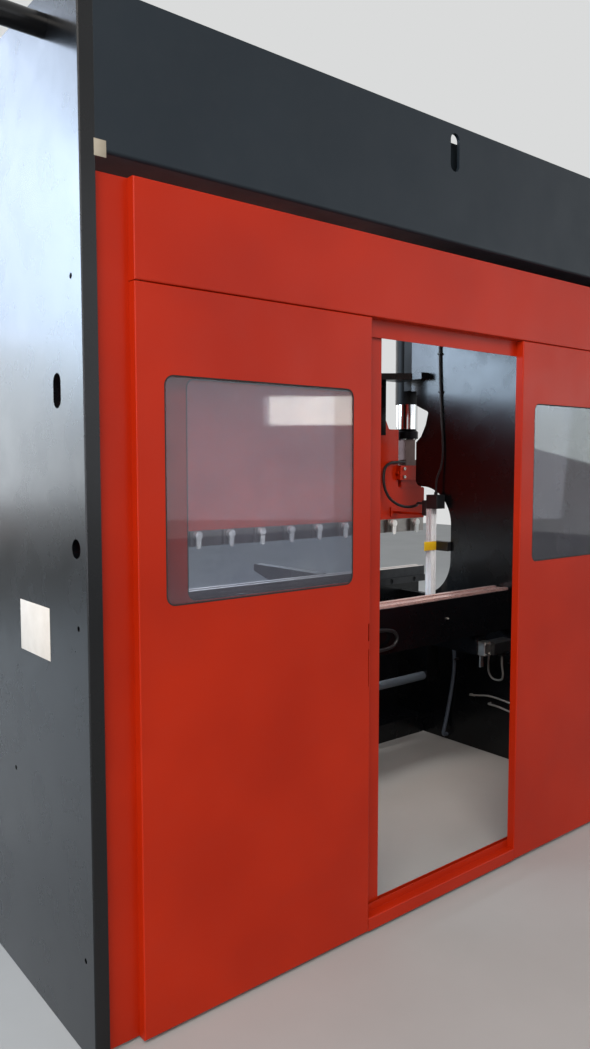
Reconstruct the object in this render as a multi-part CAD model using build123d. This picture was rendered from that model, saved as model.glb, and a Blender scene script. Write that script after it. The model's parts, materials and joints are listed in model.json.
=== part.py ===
from build123d import *
import os
from math import radians, tan

# A hydraulic press brake with its sheet metal rear guard, in millimetres.
# X runs along the bending line, +Y points to the rear guard, +Z is up and the floor is at z = 0.
# A depth is measured forward from the guard's rear face, so a larger depth lies nearer the operator.
# Pieces that come in a left and a right are drawn on the +X side and mirrored.

# Side frames
FRAME_GAP = 2600
FRAME_T = 40
FRAME_TOP = 2715
FRAME_REAR = 9
FRAME_EDGE = 3
THROAT_DEPTH = 433
THROAT_LOW = 800
THROAT_HIGH = 1410
THROAT_R = 210
ARM_NOSE_CUT = 230
ARM_BACK = 169
NOTCH_LOW = 1660
NOTCH_HIGH = 1868
NOTCH_DEPTH = 90
NOTCH_R = 12
BEND_DEPTH = 1540

# Holes in the side frames, as depth and height
OVAL_HOLE = (167, 1721)
OVAL_W = 47
OVAL_H = 89
ROUND_HOLE = (69, 1323)
ROUND_HOLE_R = 25
PIN_HOLE = (208, 2628)
TAPPED_HOLES = ((70, 1991), (64, 1123), (526, 633), (59, 259))
TAPPED_R = 7

# Upper structure
REAR_PLATE_LOW = 2279
REAR_PLATE_HIGH = 2663
REAR_PLATE_T = 12
REAR_PLATE_R = 10
REAR_LIP = 140
REAR_LIP_T = 10
SLOT_W = 45
SLOT_H = 124
SLOT_Z = 2574
FRONT_BEAM_LOW = 2230
FRONT_BEAM_H = 170
FRONT_BEAM_W = 140
FRONT_BEAM_SET = 211
FRONT_BEAM_T = 20
PIN_R = 29
PIN_REACH = 300
PIN_INSIDE = 60

# Table and dies
TABLE_T = 80
TABLE_LENGTH = 2950
TABLE_TOP = 833
TABLE_FOOT_T = 210
TABLE_FOOT_H = 100
TIE_BEAM_LOW = 540
TIE_BEAM_H = 180
TIE_BEAM_W = 60
TIE_BEAM_WALL = 10
DIE_HOLDER_W = 90
DIE_HOLDER_H = 37
DIE_POCKET_R = 13
DIE_POCKET_DEPTH = 12
DIE_W = 75
DIE_TOP = 925
DIE_V = 32

# Ram and tools
RAM_LENGTH = 3050
RAM_T = 60
RAM_LOW = 1216
RAM_TOP = 1957
TONGUE_TOP = 1399
SHOULDER_Z = 1737
SHOULDER_OUT = 1300
RAM_WAIST = 1222
RAM_BEND = (1176, 1824)
RAM_NECK = 1158
HOLDER_H = 78
HOLDER_T = 50
CLAMPS = 16
CLAMP_W = 67
CLAMP_T = 18
CLAMP_SCREW_R = 20
CLAMP_SCREW_L = 26
CLAMP_TAIL = 64

# Cylinders
CYLINDER_X = 1402
BARREL_R = 70
BARREL_LOW = 1885
BARREL_HIGH = 2400
BARREL_HEAD = 40
ROD_R = 62.5
ROD_LOW = 1740
ROD_LENGTH = 400
SEAT_T = 40
SEAT_LOW = 1950
SEAT_HIGH = 2330
PAD_W = 130
LINK_FLANGE_R = 66
LINK_FLANGE_T = 54
LINK_W = 80
LINK_T = 60
FOOT_W = 124
FOOT_T = 100
FOOT_H = 34
BRACKET_IN = 1283
BRACKET_EAR = 21
BRACKET_W = 220
BRACKET_T = 110
BRACKET_SET = 65
BRACKET_LOW = 1444
BRACKET_TOP = 1528
SPACER_W = 170
SPACER_T = 80
GUIDE_ARM_LOW = 2009
GUIDE_ARM_H = 36
GUIDE_SHOE_LOW = 1700
VALVE_W = 140
VALVE_H = 100

# Rear guard
SHEET = 2
GUARD_FLANGE = 31
GUARD_LOW = 12
GUARD_TOP = 2240
HEADER_LOW = 1990
SEAM = 2
STRIP_W = 95
STRIP_FLANGE = 50
FOLD_R = 4
DOORWAY_W = 776
WINDOW_W = 661
WINDOW_H = 600
WINDOW_LOW = 1163
WINDOW_SIDE = 80
WINDOW_R = 28
PANE_T = 4
PANE_LAP = 18
BAND_LOW = 1934
SILL_TOP = 81
SILL_STEP = 55
LOCK_Z = 1002
LOCK_H = 56
PULL_Z = 887
PULL_H = 121

# Sliding door
DOOR_LAP = 12.5
DOOR_T = 26
DOOR_LOW = 30
DOOR_TOP = 1950
DOOR_LIP = 20
DOOR_PLAY = 7
DOOR_TRAVEL = 706
ROLLER_R = 25
ROLLER_W = 12
ROLLER_PITCH = 560
AXLE_R = 6
HANGER_T = 6
HANGER_W = 80
TRACK_LIP = 24

# Backgauge
BEAM_LENGTH = 2570
BEAM_DEPTH = 700
BEAM_W = 110
BEAM_LOW = 690
BEAM_H = 203
BEAM_WALL = 8
RAIL_W = 26
RAIL_H = 12
RACK_W = 24
RACK_H = 8
GUIDE_X = 1083
GUIDE_W = 60
GUIDE_LOW = 583
GUIDE_H = 70
GUIDE_WALL = 10
END_BLOCK_W = 46
END_BLOCK_T = 44
SCREW_R = 10
MOTOR_W = 66
MOTOR_L = 145
TIE_TUBE_R = 21.5
TIE_TUBE_SET = 374
TIE_TUBE_Z = 412
HANGER_LOW = 387
TUBE_HANGER_W = 84
FRAME_CABLES = ((300, 305, 309, 315, 316, 303, 293), (250, 258, 264, 273, 271))
FINGER_X = (980, 80)
FINGER_W = 110
FINGER_ARM_W = 44
FINGER_REACH = 350

# Linear scales beside the throat
SCALE_SET = 83
SCALE_T = 40
SCALE_IN = 1235
SCALE_W = 40
SCALE_LOW = 770
SCALE_TOP = 1291
SCALE_BLOCK_H = 76
SCALE_BAR = (1058, 1109)
HEAD_DROP = 41
HEAD_H = 85
HEAD_T = 30

# Hydraulic set between the frames
TANK_W = 900
TANK_D = 430
TANK_H = 220
TANK_STEP = (30, 150, 116)
PUMP_R = 72
PUMP_L = 260
PUMP_X = 60
PIPE_R = 12.5
PIPE_Z = 2450
PIPE_X = 180
PIPE_BEND = 60

# Cabinet on the far side frame, pendant on the near one, supports at the front
CABINET_DEPTH = 350
CABINET_W = 600
CABINET_LOW = 700
CABINET_H = 1000
CABINET_OUT = 260
CABINET_DOOR_T = 20
HINGE_R = 6
HINGE_OFFSET = 8
ARM_X = 1400
ARM_SET = 121
ARM_DROP = 155
ARM_R = 22
ARM_REACH = 650
PENDANT_TOP = 1860
PENDANT_W = 400
PENDANT_H = 460
PENDANT_T = 90
SUPPORT_REACH = 620
SUPPORT_W = 60
SUPPORT_X = 800
SUPPORT_RAIL_W = 20
SUPPORT_RAIL_H = 40
SUPPORT_RAIL_LOW = 760

# Clearances
GAP = 0.3
RUN = 0.05

# Values worked out from the ones above
INNER = FRAME_GAP / 2
OUTER = INNER + FRAME_T
TABLE_REAR = BEND_DEPTH - TABLE_T / 2
TABLE_FRONT = BEND_DEPTH + TABLE_T / 2
ARM_FRONT = BEND_DEPTH - ARM_BACK
THROAT_REAR = BEND_DEPTH - THROAT_DEPTH
FRONT_BEAM_DEPTH = ARM_FRONT - FRONT_BEAM_SET
ARM_DEPTH = ARM_FRONT - ARM_SET
ARM_Z = FRAME_TOP - ARM_DROP
SUPPORT_REAR = TABLE_FRONT + SUPPORT_RAIL_W
REAR_Y = (SUPPORT_REAR + SUPPORT_REACH) / 2
GUARD_HALF = INNER - STRIP_W
PANEL_IN = DOORWAY_W / 2
RAM_REAR = BEND_DEPTH - RAM_T / 2
RAM_FRONT = BEND_DEPTH + RAM_T / 2
HOLDER_LOW = RAM_LOW - HOLDER_H
HOLDER_REAR = BEND_DEPTH - HOLDER_T / 2
CLAMP_REAR = HOLDER_REAR - CLAMP_T
CLAMP_PITCH = RAM_LENGTH / CLAMPS
CLAMP_X = [(i - (CLAMPS - 1) / 2) * CLAMP_PITCH for i in range(CLAMPS)]
WINDOW_X = GUARD_HALF - WINDOW_SIDE - WINDOW_W / 2
WINDOW_Z = WINDOW_LOW + WINDOW_H / 2
DOOR_W = DOORWAY_W + 2 * DOOR_LAP
DOOR_FACE = GUARD_FLANGE + SHEET + DOOR_PLAY
DOOR_BACK = DOOR_FACE + DOOR_T
TRACK_X0 = -DOOR_W / 2 - 45
TRACK_X1 = DOOR_TRAVEL + DOOR_W / 2 + 15
ROLLER_DEPTH = DOOR_BACK + HANGER_T + 2
TRACK_LIP_Z = DOOR_TOP + 22
TRACK_BACK = ROLLER_DEPTH + ROLLER_W + 16
ROLLER_Z = TRACK_LIP_Z + SHEET + GAP + ROLLER_R
ROLLER_X = [DOOR_TRAVEL - ROLLER_PITCH / 2, DOOR_TRAVEL + ROLLER_PITCH / 2]
GUIDE_FRONT = TABLE_REAR - TIE_BEAM_W
TIE_TUBE_DEPTH = GUIDE_FRONT - TIE_TUBE_SET
GUIDE_REAR = BEAM_DEPTH + 20
GUIDE_TOP = GUIDE_LOW + GUIDE_H
MOTOR_DEPTH = GUIDE_REAR - MOTOR_W / 2 - 2
SCREW_Z = GUIDE_LOW + GUIDE_H / 2
BEAM_TOP = BEAM_LOW + BEAM_H
RAIL_TOP = BEAM_TOP + RAIL_H
SCALE_DEPTH = THROAT_REAR + SCALE_SET
SCALE_OUT = SCALE_IN + SCALE_W
HEAD_Z = SCALE_TOP - HEAD_DROP
SCALE_FRONT = SCALE_DEPTH + SCALE_T
TANK_LOW = REAR_PLATE_LOW + REAR_LIP_T
TANK_REAR = FRAME_REAR + REAR_PLATE_T
TANK_FRONT = TANK_REAR + TANK_D
PUMP_DEPTH = TANK_FRONT - 105
ARM_END_DEPTH = ARM_DEPTH + ARM_REACH
CABINET_HINGE_X = OUTER + CABINET_OUT + GAP + CABINET_DOOR_T / 2
CABINET_HINGE_Z = (CABINET_LOW + 150, CABINET_LOW + CABINET_H - 150)


def block(x, depth, z):
    """A bar between two values of x, of depth and of height."""
    size = (x[1] - x[0], depth[1] - depth[0], z[1] - z[0])
    middle = ((x[0] + x[1]) / 2, REAR_Y - (depth[0] + depth[1]) / 2, (z[0] + z[1]) / 2)
    return Pos(*middle) * Box(*size)


def outline(*corners):
    """A closed face through corners of two values, with a third value as the corner's radius."""
    points = [corner[:2] for corner in corners]
    radii = [corner[2] if len(corner) > 2 else 0 for corner in corners]
    return make_face(FilletPolyline(*points, radius=radii, close=True))


def across(face, x0, x1):
    """Extrudes a face drawn in depth and height along X."""
    plane = Plane((x0, REAR_Y, 0), x_dir=(0, -1, 0), z_dir=(-1, 0, 0))
    return extrude(plane * face, x0 - x1)


def forward(face, depth0, depth1):
    """Extrudes a face drawn in x and height from one depth to another."""
    plane = Plane((0, REAR_Y - depth0, 0), x_dir=(1, 0, 0), z_dir=(0, -1, 0))
    return extrude(plane * face, depth1 - depth0)


def upward(face, z0, z1):
    """Extrudes a face drawn in x and depth upwards."""
    plane = Plane((0, REAR_Y, z0), x_dir=(1, 0, 0), z_dir=(0, 0, -1))
    return extrude(plane * face, z0 - z1)


def bar_x(x0, x1, depth, z, radius):
    return Pos((x0 + x1) / 2, REAR_Y - depth, z) * Rot(0, 90, 0) * Cylinder(radius, abs(x1 - x0))


def bar_y(x, depth0, depth1, z, radius):
    return Pos(x, REAR_Y - (depth0 + depth1) / 2, z) * Rot(90, 0, 0) * Cylinder(radius, depth1 - depth0)


def bar_z(x, depth, z0, z1, radius):
    return Pos(x, REAR_Y - depth, (z0 + z1) / 2) * Cylinder(radius, z1 - z0)


def both(shape):
    """The shape and its mirror image on the other side of the machine."""
    return [shape, mirror(shape, about=Plane.YZ)]


def join(*shapes):
    """One solid out of pieces that are welded or cast together."""
    whole = shapes[0]
    for shape in shapes[1:]:
        whole = whole + shape
    return whole


def cut(shape, *tools):
    for tool in tools:
        shape = shape - tool
    return shape


def tube_along(radius, points):
    """A hose of straight runs and tangent arcs through points of x, depth and height."""
    route = [Vector(x, REAR_Y - depth, z) for x, depth, z in points]
    bends = []
    for before, corner, after in zip(route, route[1:], route[2:]):
        run_in = corner - before
        run_out = after - corner
        turn = radians(run_in.get_angle(run_out))
        bends.append(0.45 * min(run_in.length, run_out.length) / tan(turn / 2))
    path = FilletPolyline(*route, radius=bends)
    section = Plane(path @ 0, z_dir=path % 0) * Circle(radius)
    hose = sweep(section, path=path)
    share = hose.volume / (section.area * path.length)
    print("bend radii", [round(bend) for bend in bends])
    print("length", round(path.length), "share", round(share, 4))
    return hose


def window_face(x):
    """The rounded window opening of a guard sheet, drawn in x and height."""
    return Pos(x, WINDOW_Z) * RectangleRounded(WINDOW_W, WINDOW_H, WINDOW_R)


def folded_tray(x0, x1, depth, z0, z1, flange):
    """A sheet with its four edges folded forward, open towards the inside of the machine."""
    shell = block((x0, x1), (depth, depth + flange), (z0, z1))
    rear_edges = shell.edges().group_by(Axis.Y)[-1]
    shell = fillet(rear_edges, FOLD_R)
    pocket = block((x0 + SHEET, x1 - SHEET), (depth + SHEET, depth + flange + 1), (z0 + SHEET, z1 - SHEET))
    return shell - pocket


# Side frames

def side_frame(*welded):
    profile = outline(
        (FRAME_REAR, 0),
        (FRAME_REAR, FRAME_TOP),
        (ARM_FRONT - ARM_NOSE_CUT, FRAME_TOP, 80),
        (ARM_FRONT, FRAME_TOP - ARM_NOSE_CUT, 80),
        (ARM_FRONT, NOTCH_HIGH),
        (ARM_FRONT - NOTCH_DEPTH, NOTCH_HIGH - 40, NOTCH_R),
        (ARM_FRONT - NOTCH_DEPTH + 19, NOTCH_HIGH - 111, 60),
        (ARM_FRONT - 37, NOTCH_LOW + 32, 30),
        (ARM_FRONT, NOTCH_LOW),
        (ARM_FRONT, THROAT_HIGH, 40),
        (THROAT_REAR, THROAT_HIGH, THROAT_R),
        (THROAT_REAR, THROAT_LOW, THROAT_R),
        (TABLE_REAR, THROAT_LOW, 20),
        (TABLE_REAR, 0),
    )
    plate = across(profile, INNER, OUTER)
    rear_edge = plate.edges().filter_by(Axis.Z).group_by(Axis.Y)[-1].group_by(Axis.X)[-1]
    plate = chamfer(rear_edge, FRAME_EDGE)
    oval = Pos(*OVAL_HOLE) * Rot(0, 0, 90) * SlotOverall(OVAL_H, OVAL_W)
    holes = [across(oval, INNER - 1, OUTER + 1)]
    rounds = [(*ROUND_HOLE, ROUND_HOLE_R), (*PIN_HOLE, PIN_R + GAP)]
    rounds += [(*place, TAPPED_R) for place in TAPPED_HOLES]
    holes += [bar_x(INNER - 1, OUTER + 1, depth, z, radius) for depth, z, radius in rounds]
    seat_out = CYLINDER_X + BARREL_R + 20
    seat = block((INNER, seat_out), (ARM_FRONT, ARM_FRONT + SEAT_T), (SEAT_LOW, SEAT_HIGH))
    gusset = outline(
        (OUTER, ARM_FRONT), (seat_out, ARM_FRONT), (seat_out, ARM_FRONT - 30), (OUTER, ARM_FRONT - 220)
    )
    gussets = [upward(gusset, z, z + 25) for z in (SEAT_LOW + 60, SEAT_HIGH - 85)]
    pad = block((SCALE_OUT, INNER), (SCALE_DEPTH + 5, SCALE_FRONT - 5), (SCALE_LOW - 30, SCALE_LOW + 25))
    return cut(join(plate, seat, *gussets, pad, *welded), *holes)


def lifting_pins():
    pin = bar_x(INNER - PIN_INSIDE, OUTER + PIN_REACH, *PIN_HOLE, PIN_R)
    return both(chamfer(pin.edges().filter_by(GeomType.CIRCLE), 3))


# Upper structure

def rear_cross_plate():
    front = FRAME_REAR + REAR_PLATE_T
    lip_top = REAR_PLATE_LOW + REAR_LIP_T
    section = outline(
        (FRAME_REAR, REAR_PLATE_HIGH), (FRAME_REAR, REAR_PLATE_LOW, REAR_PLATE_R),
        (FRAME_REAR + REAR_LIP, REAR_PLATE_LOW), (FRAME_REAR + REAR_LIP, lip_top), (front, lip_top),
        (front, REAR_PLATE_HIGH),
    )
    slot = Pos(0, SLOT_Z) * Rot(0, 0, 90) * SlotOverall(SLOT_H, SLOT_W)
    return across(section, -INNER, INNER) - forward(slot, 0, front + 1)


def front_cross_beam():
    low, high = FRONT_BEAM_LOW, FRONT_BEAM_LOW + FRONT_BEAM_H
    rear, front = FRONT_BEAM_DEPTH, FRONT_BEAM_DEPTH + FRONT_BEAM_W
    channel = outline(
        (rear, low), (front, low), (front, low + FRONT_BEAM_T), (rear + FRONT_BEAM_T, low + FRONT_BEAM_T, 12),
        (rear + FRONT_BEAM_T, high - FRONT_BEAM_T, 12), (front, high - FRONT_BEAM_T), (front, high),
        (rear, high),
    )
    return across(channel, -INNER, INNER)


def oil_tank():
    """The tank has a higher part at the back, which leaves room for a hook behind the lifting slot."""
    tank = block((-TANK_W / 2, TANK_W / 2), (TANK_REAR, TANK_FRONT), (TANK_LOW, TANK_LOW + TANK_H))
    tank = fillet(tank.edges().filter_by(Axis.Z), 12)
    back, thick, rise = TANK_STEP
    top = TANK_LOW + TANK_H
    step_depths = (TANK_REAR + back, TANK_REAR + back + thick)
    step = block((-TANK_W / 2, TANK_W / 2), step_depths, (top - 1, top + rise))
    step = fillet(step.edges().filter_by(Axis.Z), 12)
    cap = bar_z(-TANK_W / 2 + 110, PUMP_DEPTH, top, top + 40, 35)
    return join(tank, step, cap)


def manifold():
    return block((-PIPE_X - 50, PIPE_X + 50), (TANK_FRONT, TANK_FRONT + 60), (PIPE_Z - 40, PIPE_Z + 40))


def pump_motor():
    top = TANK_LOW + TANK_H
    axis_z = top + 18 + PUMP_R
    depth = PUMP_DEPTH
    x0, x1 = PUMP_X, PUMP_X + PUMP_L
    motor = bar_x(x0, x1, depth, axis_z, PUMP_R - 8)
    fins = [bar_x(x0 + 20 + step * 22, x0 + 28 + step * 22, depth, axis_z, PUMP_R) for step in range(11)]
    bell = bar_x(x1, x1 + 50, depth, axis_z, PUMP_R - 20)
    pump = bar_x(x1 + 50, x1 + 110, depth, axis_z, PUMP_R - 30)
    foot = block((x0 + 30, x1 - 30), (depth - 50, depth + 50), (top, axis_z - PUMP_R + 30))
    box = block((x0 + 70, x0 + 170), (depth - 36, depth + 36), (axis_z + PUMP_R - 20, axis_z + PUMP_R + 16))
    return join(motor, *fins, bell, pump, foot, box)


# Table and dies

def box_beam(rear, low, high):
    """A welded box between the side frames, behind the table plate."""
    wall = TIE_BEAM_WALL
    outer = block((-INNER, INNER), (rear, TABLE_REAR), (low, high))
    return outer - block((-INNER - 1, INNER + 1), (rear + wall, TABLE_REAR - wall), (low + wall, high - wall))


def table_plate():
    half = TABLE_LENGTH / 2
    plate = block((-half, half), (TABLE_REAR, TABLE_FRONT), (0, TABLE_TOP))
    return join(plate, box_beam(TABLE_REAR - TABLE_FOOT_T, 0, TABLE_FOOT_H))


def table_tie_beam():
    return box_beam(GUIDE_FRONT, TIE_BEAM_LOW, TIE_BEAM_LOW + TIE_BEAM_H)


def die_holder():
    half = RAM_LENGTH / 2
    rear, front = BEND_DEPTH - DIE_HOLDER_W / 2, BEND_DEPTH + DIE_HOLDER_W / 2
    rail = block((-half, half), (rear, front), (TABLE_TOP, TABLE_TOP + DIE_HOLDER_H))
    z = TABLE_TOP + DIE_HOLDER_H / 2
    pockets = [bar_y(x, rear - 1, rear + DIE_POCKET_DEPTH, z, DIE_POCKET_R) for x in CLAMP_X]
    return cut(rail, *pockets)


def v_die():
    half = RAM_LENGTH / 2
    rear, front = BEND_DEPTH - DIE_W / 2, BEND_DEPTH + DIE_W / 2
    low = TABLE_TOP + DIE_HOLDER_H
    section = outline(
        (rear, low), (front, low), (front, DIE_TOP, 2), (BEND_DEPTH + DIE_V / 2, DIE_TOP, 3),
        (BEND_DEPTH, DIE_TOP - DIE_V * 0.8, 3), (BEND_DEPTH - DIE_V / 2, DIE_TOP, 3), (rear, DIE_TOP, 2),
    )
    return across(section, -half, half)


# Ram and its tools

def ram():
    half = RAM_LENGTH / 2
    right = [
        (half, RAM_LOW), (half, TONGUE_TOP, 12),
        (SHOULDER_OUT, TONGUE_TOP, 12), (SHOULDER_OUT, SHOULDER_Z, 6),
        (RAM_WAIST, SHOULDER_Z, 14), (*RAM_BEND, 240), (RAM_NECK, RAM_TOP, 10),
    ]
    left = [(-corner[0], *corner[1:]) for corner in reversed(right)]
    return forward(outline(*right, *left), RAM_REAR, RAM_FRONT)


def tool_holder():
    half = RAM_LENGTH / 2
    section = outline(
        (HOLDER_REAR, HOLDER_LOW), (BEND_DEPTH - 7, HOLDER_LOW), (BEND_DEPTH - 7, HOLDER_LOW + 30),
        (BEND_DEPTH + 7, HOLDER_LOW + 30), (BEND_DEPTH + 7, HOLDER_LOW),
        (BEND_DEPTH + HOLDER_T / 2, HOLDER_LOW), (BEND_DEPTH + HOLDER_T / 2, RAM_LOW), (HOLDER_REAR, RAM_LOW),
    )
    return across(section, -half, half)


def tool_clamps():
    clamps = []
    for x in CLAMP_X:
        face = outline(
            (x - CLAMP_W / 2, HOLDER_LOW + 2, 5), (x + CLAMP_W / 2, HOLDER_LOW + 2, 5),
            (x + CLAMP_W / 2, RAM_LOW - 2, 5), (x - CLAMP_W / 2, RAM_LOW - 2, 5),
        )
        clamps.append(forward(face, CLAMP_REAR, HOLDER_REAR))
    return clamps


def clamp_screws():
    screws = []
    z = RAM_LOW - 22
    for x in CLAMP_X:
        knob = bar_y(x, CLAMP_REAR - CLAMP_SCREW_L, CLAMP_REAR, z, CLAMP_SCREW_R)
        knob = chamfer(knob.edges().filter_by(GeomType.CIRCLE).group_by(Axis.Y)[-1], 2)
        lever = outline((x - 15, z), (x + 15, z), (x + 11, z - CLAMP_TAIL, 10), (x - 11, z - CLAMP_TAIL, 10))
        tail = forward(lever, CLAMP_REAR - CLAMP_SCREW_L + 4, CLAMP_REAR - CLAMP_SCREW_L + 14)
        screws.append(join(knob, tail))
    return screws


# Hydraulic cylinders and what joins them to the ram

def cylinder():
    barrel = bar_z(CYLINDER_X, BEND_DEPTH, BARREL_LOW, BARREL_HIGH, BARREL_R)
    barrel = chamfer(barrel.edges().filter_by(GeomType.CIRCLE), 4)
    pad_depths = (ARM_FRONT + SEAT_T, BEND_DEPTH - BARREL_R / 2)
    pad = block((CYLINDER_X - PAD_W / 2, CYLINDER_X + PAD_W / 2), pad_depths, (SEAT_LOW + 10, SEAT_HIGH - 10))
    collar = bar_z(CYLINDER_X, BEND_DEPTH, BARREL_HIGH - 60, BARREL_HIGH, BARREL_R + 12)
    bore = bar_z(CYLINDER_X, BEND_DEPTH, BARREL_LOW - 1, BARREL_HIGH - BARREL_HEAD, ROD_R + RUN)
    return join(barrel, pad, collar) - bore


def valve_block():
    top = BARREL_HIGH
    body = block(
        (CYLINDER_X - VALVE_W / 2, CYLINDER_X + VALVE_W / 2),
        (BEND_DEPTH - VALVE_W / 2, BEND_DEPTH + VALVE_W / 2),
        (top, top + VALVE_H),
    )
    body = chamfer(body.edges().filter_by(Axis.Z), 4)
    coils = [
        bar_x(CYLINDER_X + VALVE_W / 2, CYLINDER_X + VALVE_W / 2 + 65, BEND_DEPTH + side, top + 55, 22)
        for side in (-34, 34)
    ]
    return join(body, *coils)


def piston_rod():
    rod = bar_z(CYLINDER_X, BEND_DEPTH, ROD_LOW, ROD_LOW + ROD_LENGTH, ROD_R)
    return chamfer(rod.edges().filter_by(GeomType.CIRCLE), 2)


def ram_link():
    """The nut under the rod, the block it stands on and the foot that is bolted to the bracket."""
    flange_low = ROD_LOW - LINK_FLANGE_T
    flange = bar_z(CYLINDER_X, BEND_DEPTH, flange_low, ROD_LOW, LINK_FLANGE_R)
    flange = chamfer(flange.edges().filter_by(GeomType.CIRCLE).group_by(Axis.Z)[-1], 14)
    foot_top = BRACKET_TOP + FOOT_H
    column_x = (CYLINDER_X - LINK_W / 2, CYLINDER_X + LINK_W / 2)
    column = block(column_x, (BEND_DEPTH - LINK_T / 2, BEND_DEPTH + LINK_T / 2), (foot_top, flange_low))
    foot_x = (CYLINDER_X - FOOT_W / 2, CYLINDER_X + FOOT_W / 2)
    foot = block(foot_x, (BEND_DEPTH - FOOT_T / 2, BEND_DEPTH + FOOT_T / 2), (BRACKET_TOP, foot_top))
    return join(flange, column, chamfer(foot.edges().filter_by(Axis.Z), 6))


def link_bracket():
    rear = BEND_DEPTH - BRACKET_SET
    span = (BRACKET_LOW, BRACKET_TOP)
    body = block((BRACKET_IN + BRACKET_EAR, BRACKET_IN + BRACKET_W), (rear, rear + BRACKET_T), span)
    body = fillet(body.edges().filter_by(Axis.Z).group_by(Axis.X)[-1], 5)
    ear = block((BRACKET_IN, BRACKET_IN + BRACKET_EAR), (rear, RAM_REAR), span)
    spacer_x = (CYLINDER_X - SPACER_W / 2, CYLINDER_X + SPACER_W / 2)
    spacer_depths = (BEND_DEPTH - SPACER_T / 2, BEND_DEPTH + SPACER_T / 2)
    spacer = block(spacer_x, spacer_depths, (TONGUE_TOP, BRACKET_LOW))
    bolt = bar_x(BRACKET_IN - 12, BRACKET_IN, RAM_REAR - 15, (BRACKET_LOW + BRACKET_TOP) / 2, 9)
    return join(body, ear, spacer, bolt)


def scale_arm():
    """Carries the scale's reading head from the rear face of the ram."""
    arm_x = (SCALE_OUT - 22, SCALE_OUT)
    arm = block(arm_x, (SCALE_FRONT + GAP + HEAD_T, RAM_REAR), (HEAD_Z, HEAD_Z + 14))
    plate = block((SCALE_OUT - 40, SCALE_OUT + 4), (RAM_REAR - 8, RAM_REAR), (HEAD_Z - 20, HEAD_Z + 36))
    return join(arm, plate)


def ram_guide():
    """An arm from the side frame with a shoe that the ram's rear face slides along."""
    shape = outline(
        (INNER, ARM_FRONT - 90), (INNER, RAM_REAR - GAP), (RAM_NECK - 60, RAM_REAR - GAP),
        (RAM_NECK - 60, RAM_REAR - 45), (INNER - 60, ARM_FRONT - 20), (INNER - 60, ARM_FRONT - 90),
    )
    arm = upward(shape, GUIDE_ARM_LOW, GUIDE_ARM_LOW + GUIDE_ARM_H)
    shoe_x = (RAM_NECK - 60, RAM_NECK - 8)
    shoe = block(shoe_x, (RAM_REAR - 45, RAM_REAR - GAP), (GUIDE_SHOE_LOW, GUIDE_ARM_LOW + GUIDE_ARM_H))
    return join(arm, shoe)


# Rear guard

def guard_header():
    return folded_tray(-GUARD_HALF, GUARD_HALF, 0, HEADER_LOW, GUARD_TOP, GUARD_FLANGE)


def guard_panel():
    sheet = folded_tray(PANEL_IN, GUARD_HALF, 0, GUARD_LOW, HEADER_LOW - SEAM, GUARD_FLANGE)
    return sheet - forward(window_face(WINDOW_X), -1, SHEET + 1)


def lock_slots():
    """The slots for the door's lock in the fixed panel, beside the doorway."""
    x = PANEL_IN + 7
    lock = Pos(x, LOCK_Z) * Rot(0, 0, 90) * SlotOverall(LOCK_H, 5)
    pull = Pos(x, PULL_Z) * Rot(0, 0, 90) * SlotOverall(PULL_H, 3)
    return [forward(slot, -1, SHEET + 1) for slot in (lock, pull)]


def filler_strip():
    face = block((GUARD_HALF - 20, INNER), (GUARD_FLANGE, GUARD_FLANGE + SHEET), (GUARD_LOW, GUARD_TOP))
    flange_depths = (GUARD_FLANGE, GUARD_FLANGE + STRIP_FLANGE)
    return join(face, block((INNER - SHEET, INNER), flange_depths, (GUARD_LOW, GUARD_TOP)))


def pane(x, depth):
    lap = 2 * PANE_LAP
    face = Pos(x, WINDOW_Z) * RectangleRounded(WINDOW_W + lap, WINDOW_H + lap, WINDOW_R)
    return forward(face, depth, depth + PANE_T)


def door_track():
    front, back = GUARD_FLANGE, TRACK_BACK
    top = ROLLER_Z + ROLLER_R + 40
    section = outline(
        (front, BAND_LOW), (front + SHEET, BAND_LOW), (front + SHEET, top - SHEET),
        (back - SHEET, top - SHEET), (back - SHEET, TRACK_LIP_Z + SHEET),
        (back - TRACK_LIP, TRACK_LIP_Z + SHEET), (back - TRACK_LIP, TRACK_LIP_Z),
        (back, TRACK_LIP_Z), (back, top), (front, top),
    )
    return across(section, TRACK_X0, TRACK_X1)


def door_sill():
    front, back = GUARD_FLANGE, DOOR_BACK + DOOR_PLAY
    channel = outline(
        (front, GUARD_LOW), (back + SHEET, GUARD_LOW), (back + SHEET, SILL_TOP - 20), (back, SILL_TOP - 20),
        (back, GUARD_LOW + SHEET), (front + SHEET, GUARD_LOW + SHEET), (front + SHEET, SILL_TOP),
        (front, SILL_TOP),
    )
    step = outline(
        (0, GUARD_LOW), (SHEET, GUARD_LOW), (SHEET, SILL_STEP - SHEET), (front, SILL_STEP - SHEET),
        (front, SILL_STEP), (0, SILL_STEP, FOLD_R),
    )
    return join(across(channel, TRACK_X0, TRACK_X1), across(step, -PANEL_IN, PANEL_IN))


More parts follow.
